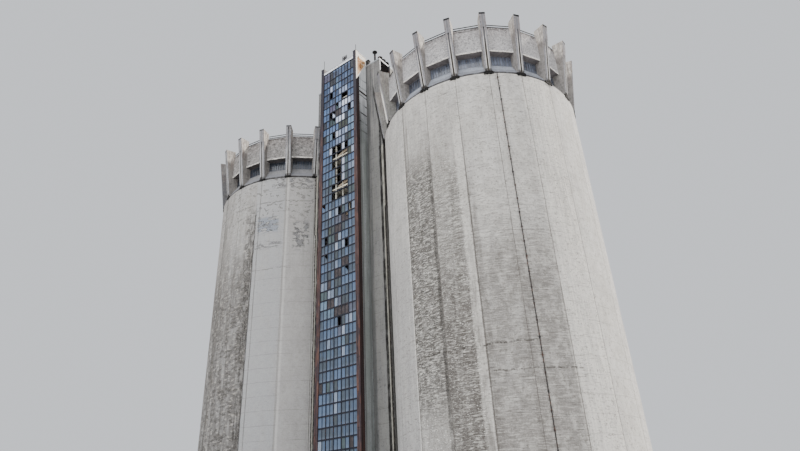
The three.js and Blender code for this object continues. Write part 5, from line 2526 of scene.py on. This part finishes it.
    def handrail(self) -> None:
        """Builds the thin rail on the roof, with its posts."""
        sketch = Sketch("stair_roof_handrail")
        inner, foot, (y, z) = self.column_inner - self.end_play, self.roof_top, self.rail_place
        sketch.tube([(-inner, y, z), (inner, y, z)], self.rail_thickness)
        for k in range(self.rail_posts):
            x = ((k + 0.5) / self.rail_posts - 0.5) * 2 * inner
            sketch.tube([(x, y, foot), (x, y, z)], self.post_thickness, 8)
            sketch.lathe([(r, foot + up) for r, up in self.post_foot], x, y, 12)
        paint = PaintedSteel("handrail_paint", (36, 40, 48), (24, 27, 32), 0.2, 0.7, 0.0)
        sketch.piece([paint.material()], ["stair_roof_rail"], 40.0)

    def antenna(self) -> None:
        """Builds the small antenna on the stair's roof: a mast, two booms and rods across them."""
        sketch = Sketch("roof_antenna_rods")
        (x, y), foot, top, boom = self.mast, self.roof_top, self.mast_top, self.boom
        sketch.tube([(x, y, foot), (x, y, top)], self.mast_thickness)
        sketch.lathe([(r, foot + z) for r, z in self.mast_foot], x, y, 12)
        for drop in self.boom_drops:
            z = top - drop
            sketch.tube([(x - boom / 2, y, z), (x + boom / 2, y, z)], self.boom_thickness, 8)
        z = top - self.boom_drops[0]
        for k in range(self.antenna_rods):
            at = x - boom / 2 + (k + self.antenna_first) * boom / self.antenna_pitches
            half = self.antenna_half - self.antenna_taper * k
            sketch.tube([(at, y, z - half), (at, y, z + half)], self.antenna_thickness, 8)
        steel = PaintedSteel("antenna_steel", (14, 17, 26), (8, 10, 15), 0.12, 0.7, 0.0)
        sketch.piece([steel.material()], ["roof_antenna"], 40.0)

    def stair_posts(self) -> None:
        """Dresses the landings and builds the posts just behind the glass."""
        dress("stair_landings", wall_finish("landing_concrete", Surface.ALONG_X, (170, 167, 158)))
        sketch = Sketch("stair_glazing_posts")
        for column, half, front in self.posts:
            x = self.glazing.column_x(column) + self.posts_aside
            sketch.box((x - half, front, self.posts_foot), (x + half, self.posts_back, self.posts_top))
        paint = PaintedSteel("glazing_post_paint", (202, 200, 188), (150, 147, 136), 0.2, 0.7, 0.0)
        sketch.piece([paint.material()], bevel=0.005)

    @staticmethod
    def string_outline(start: float, end: float, at_start: Flat, at_end: Flat) -> tuple[Flat, ...]:
        """Returns a sloping board's outline.

        Args:
            start: where it starts along X.
            end: where it ends along X.
            at_start: its lower and its upper height there, over the landing's level.
            at_end: the same at its end.

        Returns:
            The corners, as (x, height) pairs.
        """
        return ((start, at_start[0]), (end, at_end[0]), (end, at_end[1]), (start, at_start[1]))

    def stair_edges(self) -> None:
        """Builds the landings' edges and the sloping strings between them, behind the glass."""
        sketch = Sketch("stair_flight_edges")
        end = self.column_inner - self.edge_gap
        edge = self.string_outline(-end, end, *self.edge_ends)
        flight = self.string_outline(self.string_start, end, *self.string_ends)
        for storey in range(1, self.storeys + 1):
            top = self.top_landing - self.storey * storey
            sketch.loft([[(x, y, top + z) for x, z in edge] for y in self.edge_along])
            if storey < self.storeys:
                sketch.loft([[(x, y, top + z) for x, z in flight] for y in self.string_along], 1)
        cream = PaintedSteel("landing_edge_paint", (214, 209, 191), (150, 143, 126), 0.25, 0.7, 0.0)
        brown = PaintedSteel("flight_string_paint", (142, 130, 112), (96, 88, 78), 0.2, 0.8, 0.0)
        sketch.piece([cream.material(), brown.material()], bevel=0.005)


@dataclass(frozen=True)
class Studio:
    """The pale floor, the soft light with a low-angled key, and the photograph's camera."""

    eye: Point = (32.463, -41.544, 1.6)
    heading: float = 36.161
    pitch: float = 27.535
    roll: float = -2.986
    focal_pixels: float = 577.8
    frame_pixels: int = 800
    sensor: float = 36.0
    farthest: float = 500.0
    floor_reach: float = 160.0
    floor_steps: int = 96
    floor_drop: float = 0.001
    key_way: Point = (0.75, 1.0, 1.8)
    key_strength: float = 8.0
    key_spread: float = 1.2
    key_colour: Point = (1.0, 0.94, 0.86)
    fill_way: Point = (0.1, -1.0, 1.25)
    fill_strength: float = 2.6
    fill_spread: float = 60.0
    fill_colour: Point = (0.97, 0.98, 1.0)
    surround: tuple[float, float, float, float] = (0.86, 0.89, 0.94, 1.0)
    surround_strength: float = 0.95

    def build(self) -> None:
        """Places the floor, the lights and the camera."""
        self.floor()
        self.lights()
        self.camera()

    def floor(self) -> None:
        """Lays a round pale floor that belongs to the studio."""
        mesh = bpy.data.meshes.new("studio_floor")
        turns = [2 * math.pi * k / self.floor_steps for k in range(self.floor_steps)]
        reach, z = self.floor_reach, -self.floor_drop
        rim = [(reach * math.cos(turn), reach * math.sin(turn), z) for turn in turns]
        mesh.from_pydata(rim, [], [tuple(range(self.floor_steps))])
        mesh.materials.append(StudioFloor().material())
        floor = bpy.data.objects.new("studio_floor", mesh)
        bpy.context.scene.collection.objects.link(floor)

    def lights(self) -> None:
        """Sets an even pale surround, a key light from behind on the right, and a soft fill."""
        world = bpy.data.worlds.new("studio_surround")
        bpy.context.scene.world = world
        world.use_nodes = True
        background = world.node_tree.nodes["Background"]
        background.inputs["Color"].default_value = self.surround
        background.inputs["Strength"].default_value = self.surround_strength
        self.lamp("key_light", self.key_way, self.key_strength, self.key_spread, self.key_colour)
        self.lamp("fill_light", self.fill_way, self.fill_strength, self.fill_spread, self.fill_colour)

    @staticmethod
    def lamp(name: str, way: Point, strength: float, spread: float, colour: Point) -> None:
        """Adds one distant lamp.

        Args:
            name: the lamp's name.
            way: the direction that it stands in.
            strength: how bright it is.
            spread: how wide it looks, in degrees, so how soft its shadows are.
            colour: its linear colour.
        """
        data = bpy.data.lights.new(name, "SUN")
        data.energy = strength
        data.angle = math.radians(spread)
        data.color = colour
        lamp = bpy.data.objects.new(name, data)
        lamp.rotation_mode = "QUATERNION"
        lamp.rotation_quaternion = Vector(way).to_track_quat("Z", "Y")
        bpy.context.scene.collection.objects.link(lamp)

    def camera(self) -> None:
        """Sets the camera where the photograph was taken from, with its lens."""
        heading, pitch, roll = (math.radians(v) for v in (self.heading, self.pitch, self.roll))
        level = Vector((math.cos(heading), math.sin(heading), 0.0))
        flat = math.cos(pitch)
        ahead = Vector((-math.sin(heading) * flat, math.cos(heading) * flat, math.sin(pitch)))
        upright = level.cross(ahead)
        right = math.cos(roll) * level + math.sin(roll) * upright
        top = math.cos(roll) * upright - math.sin(roll) * level
        data = bpy.data.cameras.new("photo_camera")
        data.sensor_width = self.sensor
        data.lens = self.focal_pixels / self.frame_pixels * self.sensor
        data.clip_end = self.farthest
        camera = bpy.data.objects.new("photo_camera", data)
        turn = Matrix((right, top, -ahead)).transposed()
        camera.matrix_world = Matrix.Translation(MODEL * Vector(self.eye)) @ turn.to_4x4()
        bpy.context.scene.collection.objects.link(camera)
        bpy.context.scene.camera = camera


def main() -> None:
    """Loads the frame, builds every sub-assembly around it, and sets the studio."""
    logging.basicConfig(level=logging.INFO, format="%(name)s %(message)s")
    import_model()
    silos = [Silo(Side.LEFT), Silo(Side.RIGHT)]
    parts = [*silos, Conductor(silos[1]), HeadHouse(), StairTower(Glazing()), Studio()]
    for part in parts:
        part.build()
        log.info("%s: built", type(part).__name__)


if __name__ == "__main__":
    main()
